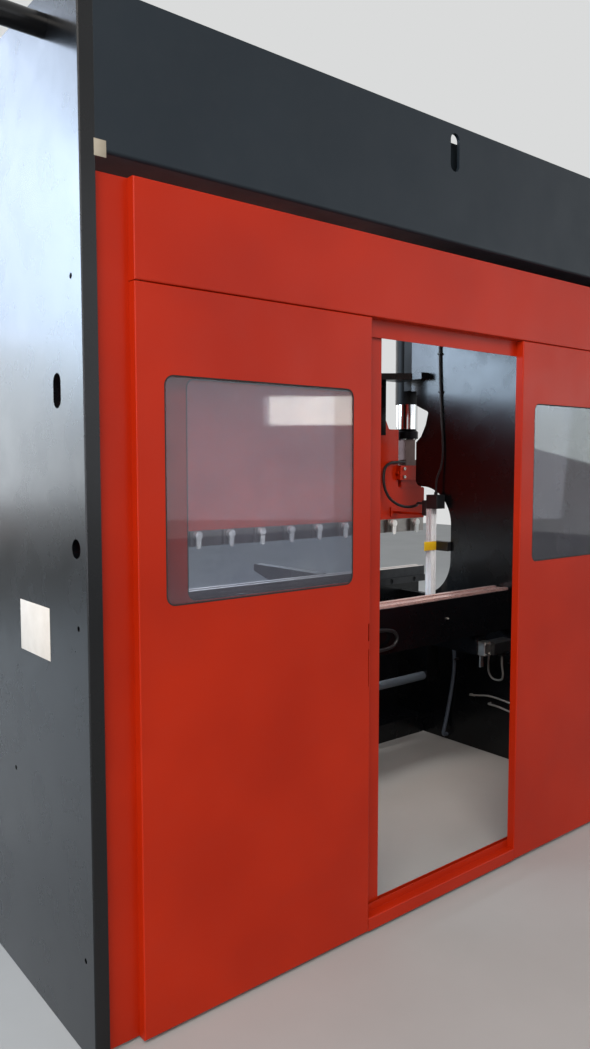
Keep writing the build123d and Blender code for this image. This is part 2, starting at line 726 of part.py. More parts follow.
def sliding_door():
    x0, x1 = DOOR_TRAVEL - DOOR_W / 2, DOOR_TRAVEL + DOOR_W / 2
    leaf = block((x0, x1), (DOOR_FACE, DOOR_BACK), (DOOR_LOW, DOOR_TOP))
    leaf = fillet(leaf.edges().filter_by(Axis.Z), FOLD_R)
    hollow_z = (DOOR_LOW + SHEET, DOOR_TOP - SHEET)
    hollow = block((x0 + SHEET, x1 - SHEET), (DOOR_FACE + SHEET, DOOR_BACK - SHEET), hollow_z)
    mouth_z = (DOOR_LOW + DOOR_LIP, DOOR_TOP - DOOR_LIP)
    mouth = block((x0 + DOOR_LIP, x1 - DOOR_LIP), (DOOR_BACK - SHEET - 1, DOOR_BACK + 1), mouth_z)
    window = forward(window_face(DOOR_TRAVEL), DOOR_FACE - 1, DOOR_FACE + SHEET + 1)
    return cut(leaf, hollow, mouth, window)


def door_hangers():
    hangers = []
    for x in ROLLER_X:
        face = outline(
            (x - HANGER_W / 2, DOOR_TOP - DOOR_LIP), (x + HANGER_W / 2, DOOR_TOP - DOOR_LIP),
            (x + HANGER_W / 2, ROLLER_Z - 10), (x + 14, ROLLER_Z + 14, 10), (x - 14, ROLLER_Z + 14, 10),
            (x - HANGER_W / 2, ROLLER_Z - 10),
        )
        plate = forward(face, DOOR_BACK, DOOR_BACK + HANGER_T)
        axle = bar_y(x, DOOR_BACK + HANGER_T, ROLLER_DEPTH + ROLLER_W + 4, ROLLER_Z, AXLE_R)
        hangers.append(join(plate, axle))
    return hangers


def door_roller(x):
    wheel = bar_y(x, ROLLER_DEPTH, ROLLER_DEPTH + ROLLER_W, ROLLER_Z, ROLLER_R)
    wheel = chamfer(wheel.edges().filter_by(GeomType.CIRCLE), 1)
    return wheel - bar_y(x, ROLLER_DEPTH - 1, ROLLER_DEPTH + ROLLER_W + 1, ROLLER_Z, AXLE_R + RUN)


# Backgauge

def depth_guide():
    x = (GUIDE_X - GUIDE_W / 2, GUIDE_X + GUIDE_W / 2)
    body = block(x, (GUIDE_REAR, GUIDE_FRONT), (GUIDE_LOW, GUIDE_TOP))
    channel = block(
        (x[0] + GUIDE_WALL, x[1] - GUIDE_WALL), (GUIDE_REAR - 1, GUIDE_FRONT - 20),
        (GUIDE_LOW + GUIDE_WALL, GUIDE_TOP + 1),
    )
    hanger_x = (GUIDE_X - TUBE_HANGER_W / 2, GUIDE_X + TUBE_HANGER_W / 2)
    hanger = block(hanger_x, (TIE_TUBE_DEPTH - 30, TIE_TUBE_DEPTH + 30), (HANGER_LOW, GUIDE_LOW))
    bearing = bar_y(GUIDE_X, GUIDE_FRONT - 21, GUIDE_FRONT - 6, SCREW_Z, SCREW_R + RUN)
    return join(body - channel, hanger) - bearing


def guide_end_block():
    x = (GUIDE_X - END_BLOCK_W / 2, GUIDE_X + END_BLOCK_W / 2)
    body = block(x, (GUIDE_REAR - END_BLOCK_T, GUIDE_REAR), (GUIDE_LOW, GUIDE_TOP))
    body = chamfer(body.edges(), 2)
    leg = block((x[0] + 8, x[0] + 28), (GUIDE_REAR - 14, GUIDE_REAR - 4), (GUIDE_LOW - 62, GUIDE_LOW + 4))
    return join(body, leg) - bar_y(GUIDE_X, GUIDE_REAR - 25, GUIDE_REAR + 1, SCREW_Z, SCREW_R + RUN)


def gauge_motor():
    x0 = GUIDE_X + END_BLOCK_W / 2
    depth = MOTOR_DEPTH
    half = MOTOR_W / 2
    body = block((x0, x0 + MOTOR_L), (depth - half, depth + half), (SCREW_Z - half, SCREW_Z + half))
    body = fillet(body.edges().filter_by(Axis.X), 10)
    cap = bar_x(x0 + MOTOR_L, x0 + MOTOR_L + 12, depth, SCREW_Z, half - 8)
    plug = block((x0 + 90, x0 + 120), (depth - 13, depth + 13), (SCREW_Z - half - 22, SCREW_Z - half))
    return join(body, cap, plug)


def ball_screw(side):
    return bar_y(side * GUIDE_X, GUIDE_REAR - 24, GUIDE_FRONT - 7, SCREW_Z, SCREW_R)


def tie_tube():
    half = GUIDE_X - TUBE_HANGER_W / 2
    return bar_x(-half, half, TIE_TUBE_DEPTH, TIE_TUBE_Z, TIE_TUBE_R)


def gauge_carriage():
    plate = block(
        (GUIDE_X - GUIDE_W / 2 - 10, GUIDE_X + GUIDE_W / 2 + 10), (BEAM_DEPTH + 20, BEAM_DEPTH + BEAM_W),
        (GUIDE_TOP + GAP, BEAM_LOW),
    )
    nut_depths = (BEAM_DEPTH + 40, BEAM_DEPTH + 90)
    nut = block((GUIDE_X - 18, GUIDE_X + 18), nut_depths, (SCREW_Z - 20, GUIDE_TOP + GAP))
    return join(plate, nut) - bar_y(GUIDE_X, BEAM_DEPTH + 39, BEAM_DEPTH + 91, SCREW_Z, SCREW_R + RUN)


def gauge_beam():
    half = BEAM_LENGTH / 2
    outer = block((-half, half), (BEAM_DEPTH, BEAM_DEPTH + BEAM_W), (BEAM_LOW, BEAM_TOP))
    inner = block(
        (-half - 1, half + 1), (BEAM_DEPTH + BEAM_WALL, BEAM_DEPTH + BEAM_W - BEAM_WALL),
        (BEAM_LOW + BEAM_WALL, BEAM_TOP - BEAM_WALL),
    )
    return outer - inner


def gauge_rails():
    half = BEAM_LENGTH / 2 - 5
    rails = []
    for depth in (BEAM_DEPTH + 6, BEAM_DEPTH + BEAM_W - 6 - RAIL_W):
        section = outline(
            (depth, BEAM_TOP), (depth + RAIL_W, BEAM_TOP), (depth + RAIL_W, RAIL_TOP - 7),
            (depth + RAIL_W - 3, RAIL_TOP - 4), (depth + RAIL_W, RAIL_TOP - 1),
            (depth + RAIL_W - 1, RAIL_TOP), (depth + 1, RAIL_TOP), (depth, RAIL_TOP - 1),
            (depth + 3, RAIL_TOP - 4), (depth, RAIL_TOP - 7),
        )
        rails.append(across(section, -half, half))
    rear = BEAM_DEPTH + (BEAM_W - RACK_W) / 2
    rack = block((-half, half), (rear, rear + RACK_W), (BEAM_TOP, BEAM_TOP + RACK_H))
    return [*rails, rack]


def finger(x):
    base_low = RAIL_TOP + GAP
    rear, front = BEAM_DEPTH - 6, BEAM_DEPTH + BEAM_W + 6
    side = outline(
        (rear, base_low), (front, base_low), (front, DIE_TOP + 6, 4), (front + FINGER_REACH, DIE_TOP + 6),
        (front + FINGER_REACH, DIE_TOP + 26, 3), (front, DIE_TOP + 34, 20), (front - 50, DIE_TOP + 60, 10),
        (rear, DIE_TOP + 60, 10),
    )
    arm = across(side, x - FINGER_ARM_W / 2, x + FINGER_ARM_W / 2)
    saddle = block((x - FINGER_W / 2, x + FINGER_W / 2), (rear, front), (base_low, base_low + 18))
    return join(arm, saddle)


# Linear scales beside the throat

def linear_scale():
    post = block((SCALE_IN, SCALE_OUT), (SCALE_DEPTH, SCALE_FRONT), (SCALE_LOW, SCALE_TOP))
    middle = (SCALE_IN + SCALE_OUT) / 2
    span = (SCALE_LOW - 1, SCALE_TOP + 1)
    groove = block((middle - 4, middle + 4), (SCALE_DEPTH - 1, SCALE_DEPTH + 6), span)
    side_groove = block((SCALE_IN - 1, SCALE_IN + 5), (SCALE_DEPTH + 14, SCALE_DEPTH + 24), span)
    return cut(post, groove, side_groove)


def scale_block():
    """Holds the top of the scale on the frame and takes its cable."""
    top = SCALE_TOP + SCALE_BLOCK_H
    body = block((SCALE_IN - 4, INNER), (SCALE_DEPTH - 40, SCALE_FRONT), (SCALE_TOP, top))
    body = chamfer(body.edges().filter_by(Axis.Z), 3)
    gland = bar_z(SCALE_OUT - 7, SCALE_DEPTH, top, top + 14, 10)
    return join(body, gland)


def scale_bar():
    """Ties the scale to the rear edge of the throat."""
    return block((SCALE_OUT, INNER + 20), (THROAT_REAR, SCALE_FRONT - 5), SCALE_BAR)


def scale_head():
    rear = SCALE_FRONT + GAP
    head = block((SCALE_IN - 4, SCALE_OUT + 4), (rear, rear + HEAD_T), (HEAD_Z, HEAD_Z + HEAD_H))
    return fillet(head.edges().filter_by(Axis.Z), 4)


# Pipes and cables

def hydraulic_pipe():
    depth = ARM_FRONT + 30
    points = [
        (PIPE_X, TANK_FRONT + 60, PIPE_Z), (PIPE_X, depth, PIPE_Z), (CYLINDER_X, depth, PIPE_Z),
        (CYLINDER_X, BEND_DEPTH - VALVE_W / 2, PIPE_Z),
    ]
    route = [(x, REAR_Y - depth, z) for x, depth, z in points]
    path = FilletPolyline(*route, radius=[PIPE_BEND, PIPE_BEND / 2])
    return sweep(Plane(path @ 0, z_dir=path % 0) * Circle(PIPE_R), path=path)


def scale_cable():
    """From the upper beam down the far frame's inner face to the scale."""
    end_x = -SCALE_OUT + 7
    side = -INNER + 9
    rear = FRONT_BEAM_DEPTH + 36
    top, low = FRONT_BEAM_LOW, SCALE_TOP + SCALE_BLOCK_H + 14
    drop = top - low
    return tube_along(6, [
        (side, rear, top), (side, rear, top - drop * 0.14), (side, rear - 9, top - drop * 0.35),
        (side, rear - 22, top - drop * 0.54), (side, rear - 34, top - drop * 0.71),
        (side + 5, rear - 29, top - drop * 0.83), (end_x, SCALE_DEPTH, top - drop * 0.92),
        (end_x, SCALE_DEPTH, low),
    ])


def loop_cable():
    """From the foot under the rod, behind the ram and round to the scale's reading head."""
    start = -(CYLINDER_X - FOOT_W / 2)
    end = -SCALE_IN - 8
    head = SCALE_FRONT + GAP + HEAD_T
    top = BRACKET_TOP + 20
    rear = RAM_REAR - 13
    return tube_along(8, [
        (start, rear, top), (start + 48, rear, top), (start + 124, rear - 2, top - 3),
        (start + 170, rear - 7, top - 30), (start + 189, rear - 13, top - 88),
        (start + 190, rear - 25, top - 152),
        (start + 168, rear - 45, top - 212), (start + 126, rear - 82, top - 249),
        (start + 90, rear - 127, top - 257), (start + 76, rear - 172, top - 244),
        (end, head + 42, HEAD_Z + 68), (end, head, HEAD_Z + 68),
    ])


def conduit():
    """Out of the far frame's inner face, down to the floor and back into the face."""
    side = -INNER + 11
    depth = TIE_TUBE_DEPTH
    top = GUIDE_LOW - 35
    return tube_along(10, [
        (-INNER, depth - 20, top), (side + 25, depth - 20, top), (side + 8, depth - 14, top - 88),
        (side, depth - 2, top - 178), (side, depth + 18, top - 298), (side + 6, depth + 36, 140),
        (side + 25, depth + 48, 28), (-INNER, depth + 48, 28),
    ])


def motor_cable():
    """From the far gauge motor's plug, in a slack loop to the frame's inner face."""
    plug_x = -(GUIDE_X + END_BLOCK_W / 2 + 105)
    plug_depth = MOTOR_DEPTH
    plug_z = SCREW_Z - MOTOR_W / 2 - 22
    side = -INNER + 34
    return tube_along(5, [
        (plug_x, plug_depth, plug_z), (plug_x, plug_depth, plug_z - 50),
        (plug_x - 20, plug_depth + 5, plug_z - 100), (plug_x - 42, plug_depth + 27, plug_z - 136),
        (side, plug_depth + 66, plug_z - 151), (side, plug_depth + 104, plug_z - 146),
        (side + 2, plug_depth + 124, plug_z - 116), (side, plug_depth + 127, plug_z - 66),
        (side + 1, plug_depth + 122, plug_z - 20), (-INNER, plug_depth + 122, plug_z - 20),
    ])


def frame_cable(heights):
    """Along the far frame's inner face near the floor, with both ends in the face."""
    rear = GUIDE_REAR - 150
    run = [(-INNER + 26 + i % 2, rear + 62 * i, z) for i, z in enumerate(heights)]
    return tube_along(5, [(-INNER, rear, heights[0]), *run, (-INNER, run[-1][1], heights[-1])])


def gauge_cable():
    """A slack loop behind the backgauge beam, with both ends in its rear face."""
    rear = BEAM_DEPTH - 22
    middle = BEAM_LOW + 74
    return tube_along(8, [
        (-180, BEAM_DEPTH, middle + 44), (-180, rear, middle + 44), (-280, rear - 4, middle + 46),
        (-360, rear - 4, middle + 42), (-416, rear - 4, middle + 30), (-441, rear - 4, middle - 4),
        (-416, rear - 4, middle - 37), (-360, rear - 4, middle - 45), (-280, rear - 4, middle - 44),
        (-180, rear, middle - 40), (-180, BEAM_DEPTH, middle - 40),
    ])


# Cabinet, pendant and front supports

def hinge_barrel(z0, z1, radius):
    return bar_z(-CABINET_HINGE_X, CABINET_DEPTH - HINGE_OFFSET, z0, z1, radius)


def cabinet():
    depths = (CABINET_DEPTH, CABINET_DEPTH + CABINET_W)
    span = (CABINET_LOW, CABINET_LOW + CABINET_H)
    x = (-OUTER - CABINET_OUT, -OUTER)
    body = block(x, depths, span)
    inside = block(
        (x[0] - 1, x[1] - SHEET), (depths[0] + SHEET, depths[1] - SHEET), (span[0] + SHEET, span[1] - SHEET)
    )
    plate = block((x[1] - 12, x[1] - 8), (depths[0] + 30, depths[1] - 30), (span[0] + 40, span[1] - 40))
    studs = [
        bar_x(x[1] - 8, x[1] - SHEET, depth, z, 6)
        for depth in (depths[0] + 60, depths[1] - 60) for z in (span[0] + 80, span[1] - 80)
    ]
    hinges = []
    for z in CABINET_HINGE_Z:
        hinges.append(hinge_barrel(z - 40 - GAP, z - GAP, HINGE_R))
        hinges.append(hinge_barrel(z - 20, z + 38, HINGE_R / 2))
        web_x = (-CABINET_HINGE_X, -CABINET_HINGE_X + 22)
        web_depth = CABINET_DEPTH - HINGE_OFFSET
        hinges.append(block(web_x, (web_depth - 3, web_depth + 3), (z - 40 - GAP, z - GAP)))
        hinges.append(block((web_x[1] - 10, web_x[1]), (web_depth, CABINET_DEPTH), (z - 40 - GAP, z - GAP)))
    return join(body - inside, plate, *studs, *hinges)


def cabinet_door():
    x = -OUTER - CABINET_OUT - GAP
    depths = (CABINET_DEPTH, CABINET_DEPTH + CABINET_W)
    leaf = block((x - CABINET_DOOR_T, x), depths, (CABINET_LOW, CABINET_LOW + CABINET_H))
    leaf = fillet(leaf.edges().group_by(Axis.X)[0], 5)
    inside = block(
        (x - CABINET_DOOR_T + SHEET, x + 1), (depths[0] + SHEET, depths[1] - SHEET),
        (CABINET_LOW + SHEET, CABINET_LOW + CABINET_H - SHEET),
    )
    lock_z = CABINET_LOW + CABINET_H / 2
    lock = bar_x(x - CABINET_DOOR_T - 8, x - CABINET_DOOR_T, depths[1] - 40, lock_z, 14)
    knuckles = []
    bores = []
    for z in CABINET_HINGE_Z:
        knuckles.append(hinge_barrel(z, z + 40, HINGE_R))
        web_x = (-CABINET_HINGE_X - 3, -CABINET_HINGE_X + 3)
        knuckles.append(block(web_x, (CABINET_DEPTH - HINGE_OFFSET, CABINET_DEPTH + SHEET), (z, z + 40)))
        bores.append(hinge_barrel(z - 1, z + 38 + GAP, HINGE_R / 2 + RUN))
    return cut(join(leaf - inside, lock, *knuckles), *bores)


def pendant_bracket():
    base = block((OUTER, OUTER + 16), (ARM_DEPTH - 60, ARM_DEPTH + 60), (ARM_Z - 150, ARM_Z - 20))
    shelf = outline(
        (OUTER + 16, ARM_DEPTH - 40), (ARM_X, ARM_DEPTH - 40, 30), (ARM_X + 40, ARM_DEPTH, 36),
        (ARM_X, ARM_DEPTH + 40, 30), (OUTER + 16, ARM_DEPTH + 40),
    )
    pin = bar_z(ARM_X, ARM_DEPTH, ARM_Z - 70, ARM_Z - 10, 14)
    return join(base, upward(shelf, ARM_Z - 95, ARM_Z - 70), pin)


def pendant_arm():
    hub = bar_z(ARM_X, ARM_DEPTH, ARM_Z - 70 + GAP, ARM_Z + 40, 36)
    end = (ARM_X, ARM_END_DEPTH, PENDANT_TOP + GAP)
    points = ((ARM_X, ARM_DEPTH + 20, ARM_Z), (ARM_X, ARM_END_DEPTH, ARM_Z), end)
    route = [(x, REAR_Y - depth, z) for x, depth, z in points]
    path = FilletPolyline(*route, radius=110)
    tube = sweep(Plane(path @ 0, z_dir=path % 0) * Circle(ARM_R), path=path)
    socket = bar_z(ARM_X, ARM_DEPTH, ARM_Z - 71, ARM_Z - 10 + 2, 14 + RUN)
    return join(hub, tube) - socket


def pendant_box():
    x = (ARM_X - PENDANT_W / 2, ARM_X + PENDANT_W / 2)
    depths = (ARM_END_DEPTH - PENDANT_T / 2, ARM_END_DEPTH + PENDANT_T / 2)
    span = (PENDANT_TOP - 20 - PENDANT_H, PENDANT_TOP - 20)
    body = fillet(block(x, depths, span).edges().filter_by(Axis.Y), 14)
    screen = block((x[0] + 40, x[1] - 40), (depths[1] - 4, depths[1] + 1), (span[0] + 170, span[1] - 40))
    collar = bar_z(ARM_X, ARM_END_DEPTH, span[1], PENDANT_TOP, ARM_R + 8)
    stop = bar_y(x[0] + 60, depths[1], depths[1] + 22, span[0] + 70, 20)
    return join(body - screen, collar, stop)


def support_rail():
    half = TABLE_LENGTH / 2 - 40
    span = (SUPPORT_RAIL_LOW, SUPPORT_RAIL_LOW + SUPPORT_RAIL_H)
    return block((-half, half), (TABLE_FRONT, SUPPORT_REAR), span)


def support_arm(x):
    rail_top = SUPPORT_RAIL_LOW + SUPPORT_RAIL_H
    side = outline(
        (SUPPORT_REAR + GAP, SUPPORT_RAIL_LOW - 30), (SUPPORT_REAR + 60, SUPPORT_RAIL_LOW - 30, 20),
        (SUPPORT_REAR + SUPPORT_REACH, DIE_TOP - 45, 10), (SUPPORT_REAR + SUPPORT_REACH, DIE_TOP - 2, 6),
        (SUPPORT_REAR + 10, DIE_TOP - 2, 6), (SUPPORT_REAR + 10, rail_top + 24),
        (TABLE_FRONT + GAP, rail_top + 24), (TABLE_FRONT + GAP, rail_top + GAP),
        (SUPPORT_REAR + GAP, rail_top + GAP),
    )
    return across(side, x - SUPPORT_W / 2, x + SUPPORT_W / 2)


right_panel = cut(guard_panel(), *lock_slots())
left_panel = mirror(guard_panel(), about=Plane.YZ)

parts = {
    "side_frame_right": [side_frame(pendant_bracket())],
    "side_frame_left": [mirror(side_frame(), about=Plane.YZ)],
    "lifting_pins": lifting_pins(),
    "rear_cross_plate": [rear_cross_plate()],
    "front_cross_beam": [front_cross_beam()],
    "oil_tank": [oil_tank()],
    "pump_motor": [pump_motor()],
    "table_plate": [table_plate()],
    "table_tie_beam": [table_tie_beam()],
    "die_holder": [die_holder()],
    "v_die": [v_die()],
    "cylinders": both(cylinder()),
    "valve_blocks": both(valve_block()),
    "hydraulic_pipes": [*both(hydraulic_pipe()), manifold()],
    "ram_guides": both(ram_guide()),
    "guard_header": [guard_header()],
    "guard_panel_right": [right_panel],
    "guard_panel_left": [left_panel],
    "filler_strips": both(filler_strip()),
    "window_panes": both(pane(WINDOW_X, SHEET)),
    "door_track": [door_track()],
    "door_sill": [door_sill()],
    "depth_guides": both(depth_guide()),
    "guide_end_blocks": both(guide_end_block()),
    "gauge_motors": both(gauge_motor()),
    "tie_tube": [tie_tube()],
    "linear_scales": both(linear_scale()),
    "scale_blocks": [*both(scale_block()), *both(scale_bar())],
    "scale_cable": [scale_cable()],
    "conduit": [conduit()],
    "motor_cable": [motor_cable(), *[frame_cable(heights) for heights in FRAME_CABLES]],
    "electrical_cabinet": [cabinet()],
    "support_rail": [support_rail()],
    "ram": [ram()],
    "tool_holder": [tool_holder()],
    "tool_clamps": tool_clamps(),
    "clamp_screws": clamp_screws(),
    "piston_rods": both(piston_rod()),
    "ram_links": both(ram_link()),
    "link_brackets": [*both(link_bracket()), *both(scale_arm())],
    "scale_heads": both(scale_head()),
    "loop_cable": [loop_cable()],
    "sliding_door": [sliding_door()],
    "door_window": [pane(DOOR_TRAVEL, DOOR_FACE + SHEET)],
    "door_hangers": door_hangers(),
    "door_roller_inner": [door_roller(ROLLER_X[0])],
    "door_roller_outer": [door_roller(ROLLER_X[1])],
    "gauge_beam": [gauge_beam()],
    "gauge_rails": gauge_rails(),
    "gauge_carriages": both(gauge_carriage()),
    "gauge_cable": [gauge_cable()],
    "finger_right": [finger(FINGER_X[0])],
    "finger_left": [finger(FINGER_X[1])],
    "ball_screw_right": [ball_screw(1)],
    "ball_screw_left": [ball_screw(-1)],
    "cabinet_door": [cabinet_door()],
    "pendant_arm": [pendant_arm()],
    "pendant_box": [pendant_box()],
    "support_arm_right": [support_arm(SUPPORT_X)],
    "support_arm_left": [support_arm(-SUPPORT_X)],
}

os.makedirs("parts", exist_ok=True)
for name, shapes in parts.items():
    solids = [solid for shape in shapes for solid in shape.solids()]
    shape = solids[0] if len(solids) == 1 else Compound(children=solids)
    export_step(shape, f"parts/{name}.step")
print(len(parts), "nodes")
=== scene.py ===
# %% [markdown]
# # A press brake seen from behind
# This machine bends sheet metal: a ram three metres wide presses the sheet into a V die. The packed
# CAD model holds every shape that moves or carries load. What it lacks is what the eye reads first:
# paint, ground steel, rubber, screws and light. This lesson adds them in the CAD model's own frame,
# so nothing has to be fitted afterwards.

# %% Load the model
import json
import math

import bmesh
import bpy
from mathutils import Matrix, Quaternion, Vector


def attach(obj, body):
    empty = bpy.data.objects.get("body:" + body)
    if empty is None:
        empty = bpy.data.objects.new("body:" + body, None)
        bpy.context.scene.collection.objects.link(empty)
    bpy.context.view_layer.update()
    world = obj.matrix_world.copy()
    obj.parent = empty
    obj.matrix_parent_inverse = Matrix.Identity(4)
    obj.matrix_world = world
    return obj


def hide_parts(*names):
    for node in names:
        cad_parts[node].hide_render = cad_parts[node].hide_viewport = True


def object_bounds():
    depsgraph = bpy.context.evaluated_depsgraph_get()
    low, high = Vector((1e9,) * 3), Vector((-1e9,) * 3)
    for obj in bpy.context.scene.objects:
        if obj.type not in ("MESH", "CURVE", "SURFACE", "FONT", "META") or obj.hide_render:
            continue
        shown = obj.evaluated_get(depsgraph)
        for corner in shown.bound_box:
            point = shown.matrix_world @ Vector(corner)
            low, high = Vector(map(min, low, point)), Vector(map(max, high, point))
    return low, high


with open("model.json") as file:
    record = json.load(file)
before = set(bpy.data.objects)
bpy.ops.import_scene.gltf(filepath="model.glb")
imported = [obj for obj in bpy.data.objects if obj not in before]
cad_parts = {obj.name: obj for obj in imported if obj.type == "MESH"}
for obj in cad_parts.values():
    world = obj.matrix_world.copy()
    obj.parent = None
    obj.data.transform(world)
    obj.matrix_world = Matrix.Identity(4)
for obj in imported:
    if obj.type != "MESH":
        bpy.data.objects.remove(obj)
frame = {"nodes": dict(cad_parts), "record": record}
nodes = frame["nodes"]
scene = bpy.context.scene
start_bounds = [list(corner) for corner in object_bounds()]

# %% [markdown]
# ## Surfaces
# A surface is told by its colour and by how sharply it mirrors the room. Blender's Principled
# shader covers paint, metal, plastic and rubber with the same few sockets, so it is used for all of
# them. Nodes are added by one small function that sets values and makes links, which keeps each
# material readable as a list of what it is made of.

# %% Colours and nodes
surfaces = {}


def linear(code):
    """A hex colour as linear red, green, blue and alpha."""
    channels = [int(code[i : i + 2], 16) / 255 for i in (1, 3, 5)]
    return (*[c / 12.92 if c <= 0.04045 else ((c + 0.055) / 1.055) ** 2.4 for c in channels], 1.0)


def node(tree, kind, inputs=None, **settings):
    """Adds a shader node. Inputs are values, hex colours, or output sockets to be linked."""
    made = tree.nodes.new(kind)
    for name, value in settings.items():
        setattr(made, name, value)
    for name, value in (inputs or {}).items():
        if isinstance(value, bpy.types.NodeSocket):
            tree.links.new(value, made.inputs[name])
        else:
            made.inputs[name].default_value = linear(value) if isinstance(value, str) else value
    return made


def new_surface(name):
    """The empty node tree of a new material, which is kept under its name."""
    surfaces[name] = bpy.data.materials.new(name)
    surfaces[name].use_nodes = True
    tree = surfaces[name].node_tree
    tree.nodes.clear()
    return tree


print("white is", linear("#FFFFFF"))

# %% [markdown]
# ## Patterns in real sizes
# No real surface is one flat colour: its tone drifts, its sheen changes where hands and dust have
# been, and its skin has waves or cutting lines. Noise can draw all three. It reads Object
# coordinates, which stay on a piece when it moves, and its scale is worked out from the width that
# the feature has in millimetres, so it looks right from near and far.

# %% Noise sized in millimetres
LOWEST, HIGHEST = 0.3, 0.7  # nearly all values of a noise lie between these


def noise(tree, size_mm, detail=3.0, rough=0.55, stretch=(1, 1, 1)):
    """A noise value whose features are about size_mm wide, stretched along the object's axes."""
    where = node(tree, "ShaderNodeTexCoord").outputs["Object"]
    scaled = node(tree, "ShaderNodeMapping", {"Vector": where, "Scale": tuple(1 / s for s in stretch)})
    look = {"Scale": 1000 / size_mm, "Detail": detail, "Roughness": rough}
    return node(tree, "ShaderNodeTexNoise", {"Vector": scaled.outputs["Vector"], **look}).outputs[0]


def span(value, low, high, start=LOWEST, end=HIGHEST):
    """What a Map Range node needs to turn a value from start to end into one from low to high."""
    return {"Value": value, "From Min": start, "From Max": end, "To Min": low, "To Max": high}


def patches(tree, first, second, size_mm, detail, rough=0.55, most=1.0, start=LOWEST, end=HIGHEST):
    """One colour in which another lies in patches about size_mm wide. most is its largest share."""
    spots = noise(tree, size_mm, detail, rough)
    share = node(tree, "ShaderNodeMapRange", span(spots, 0.0, most, start, end)).outputs[0]
    return node(tree, "ShaderNodeMix", {0: share, 6: first, 7: second}, data_type="RGBA").outputs[2]


def skin(tree, height, depth_mm, edge_mm):
    """A bump of a real depth, over edges softened as if broken by edge_mm."""
    edge = node(tree, "ShaderNodeBevel", {"Radius": edge_mm / 1000}, samples=4).outputs[0]
    bump = {"Height": height, "Distance": depth_mm / 1000, "Strength": 1.0, "Normal": edge}
    return node(tree, "ShaderNodeBump", bump).outputs[0]


print("a noise is read from", LOWEST, "to", HIGHEST)

# %% [markdown]
# ## Paint
# The guard, the ram and the plates are powder coated: dry powder is blown onto the steel and baked.
# It flows out almost flat, but keeps shallow waves that blur reflections. The side frames have wet
# paint, which is glossier and has wider, flatter waves. One function can make them all, because
# they differ only in colour, sheen, waves and dust.

# %% How paint is made
POWDER = (1.6, 0.018)  # width and depth of the waves in millimetres: orange peel is 1 to 3 mm wide
WET = (7.0, 0.05)  # sprayed paint flows into waves of 5 to 10 mm
HALL_DUST, DARK_DUST = "#8F8A82", "#2E2F30"


def paint(name, colour, drift, roughness, waves, gloss=0.5, dust=HALL_DUST, dusty=0.03, coat=0.0):
    """Paint whose tone drifts over an arm's length, with a share of settled dust and a wavy skin."""
    tree = new_surface(name)
    tone = patches(tree, colour, drift, 420, 2.0)
    base = patches(tree, tone, dust, 60, 6.0, 0.7, dusty, 0.45, 0.8)
    handled = span(noise(tree, 130, 4.0), roughness * 0.88, roughness * 1.14)
    looks = {
        "Base Color": base,
        "Roughness": node(tree, "ShaderNodeMapRange", handled).outputs[0],
        "Normal": skin(tree, noise(tree, waves[0], 2.0), waves[1], 1.0),
        "Specular IOR Level": gloss,
        "Coat Weight": coat,
        "Coat Roughness": 0.12,
    }
    shader = node(tree, "ShaderNodeBsdfPrincipled", looks)
    node(tree, "ShaderNodeOutputMaterial", {"Surface": shader.outputs[0]})


print("waves of powder coat and wet paint in mm:", POWDER, WET)

# %% Paints
# Red powder coat on guard and ram: deep orange red, a satin sheen that never mirrors a sharp shape.
paint("red_powder_coat", "#B22606", "#A21F03", 0.36, POWDER, gloss=0.2, dusty=0.01)
# Slate powder coat on the upper plates: nearly black with a cold tinge, duller than the red.
paint("slate_powder_coat", "#20282F", "#1C242B", 0.42, POWDER, gloss=0.22, dusty=0.01)
# Black gloss enamel on the frames, sprayed wet: its broad waves pull the windows into long glows.
paint("black_gloss_paint", "#050608", "#07090C", 0.26, WET, gloss=0.4, dust=DARK_DUST, coat=0.06)
# Satin black powder coat on the cylinders: black, with one soft band of light down each barrel.
paint("satin_black_paint", "#050506", "#08080A", 0.5, POWDER, gloss=0.2, dust=DARK_DUST, dusty=0.02)
# Light grey powder coat on the cabinet and pendant: plain and even, a little dusty.
paint("grey_powder_coat", "#A9ACAB", "#A0A4A4", 0.42, POWDER)
# Blue grey powder coat on the tie tube: dull, so that the round tube shades softly.
paint("tube_grey_paint", "#5C6670", "#555F69", 0.4, POWDER)
print(len(surfaces), "paints")

# %% [markdown]
# ## Bare metal
# Steel that a grinding wheel or cutter has passed over keeps fine lines along the cut, and they
# smear each reflection across them. Stretched noise draws such lines and drives both roughness and
# bump, as the real lines do. Real ones are about a tenth of a millimetre apart, too fine to show
# here, so they are drawn as coarse as they need to be.

# %% How bare metal is made
GROUND = (1.2, (60, 1, 1), 0.004)  # the lines' width in mm, their stretch along X, Y, Z, depth in mm
RAIL_CUT = (0.5, (200, 1, 1), 0.001)
DRAWN_UPRIGHT = (0.8, (1, 1, 80), 0.003)
POLISHED_UPRIGHT = (2.0, (1, 1, 30), 0.001)
ZINC_GRAIN = (3.0, (1, 1, 1), 0.008)
COARSE_ZINC_GRAIN = (3.0, (1, 1, 1), 0.01)
GRIME = "#3B342D"


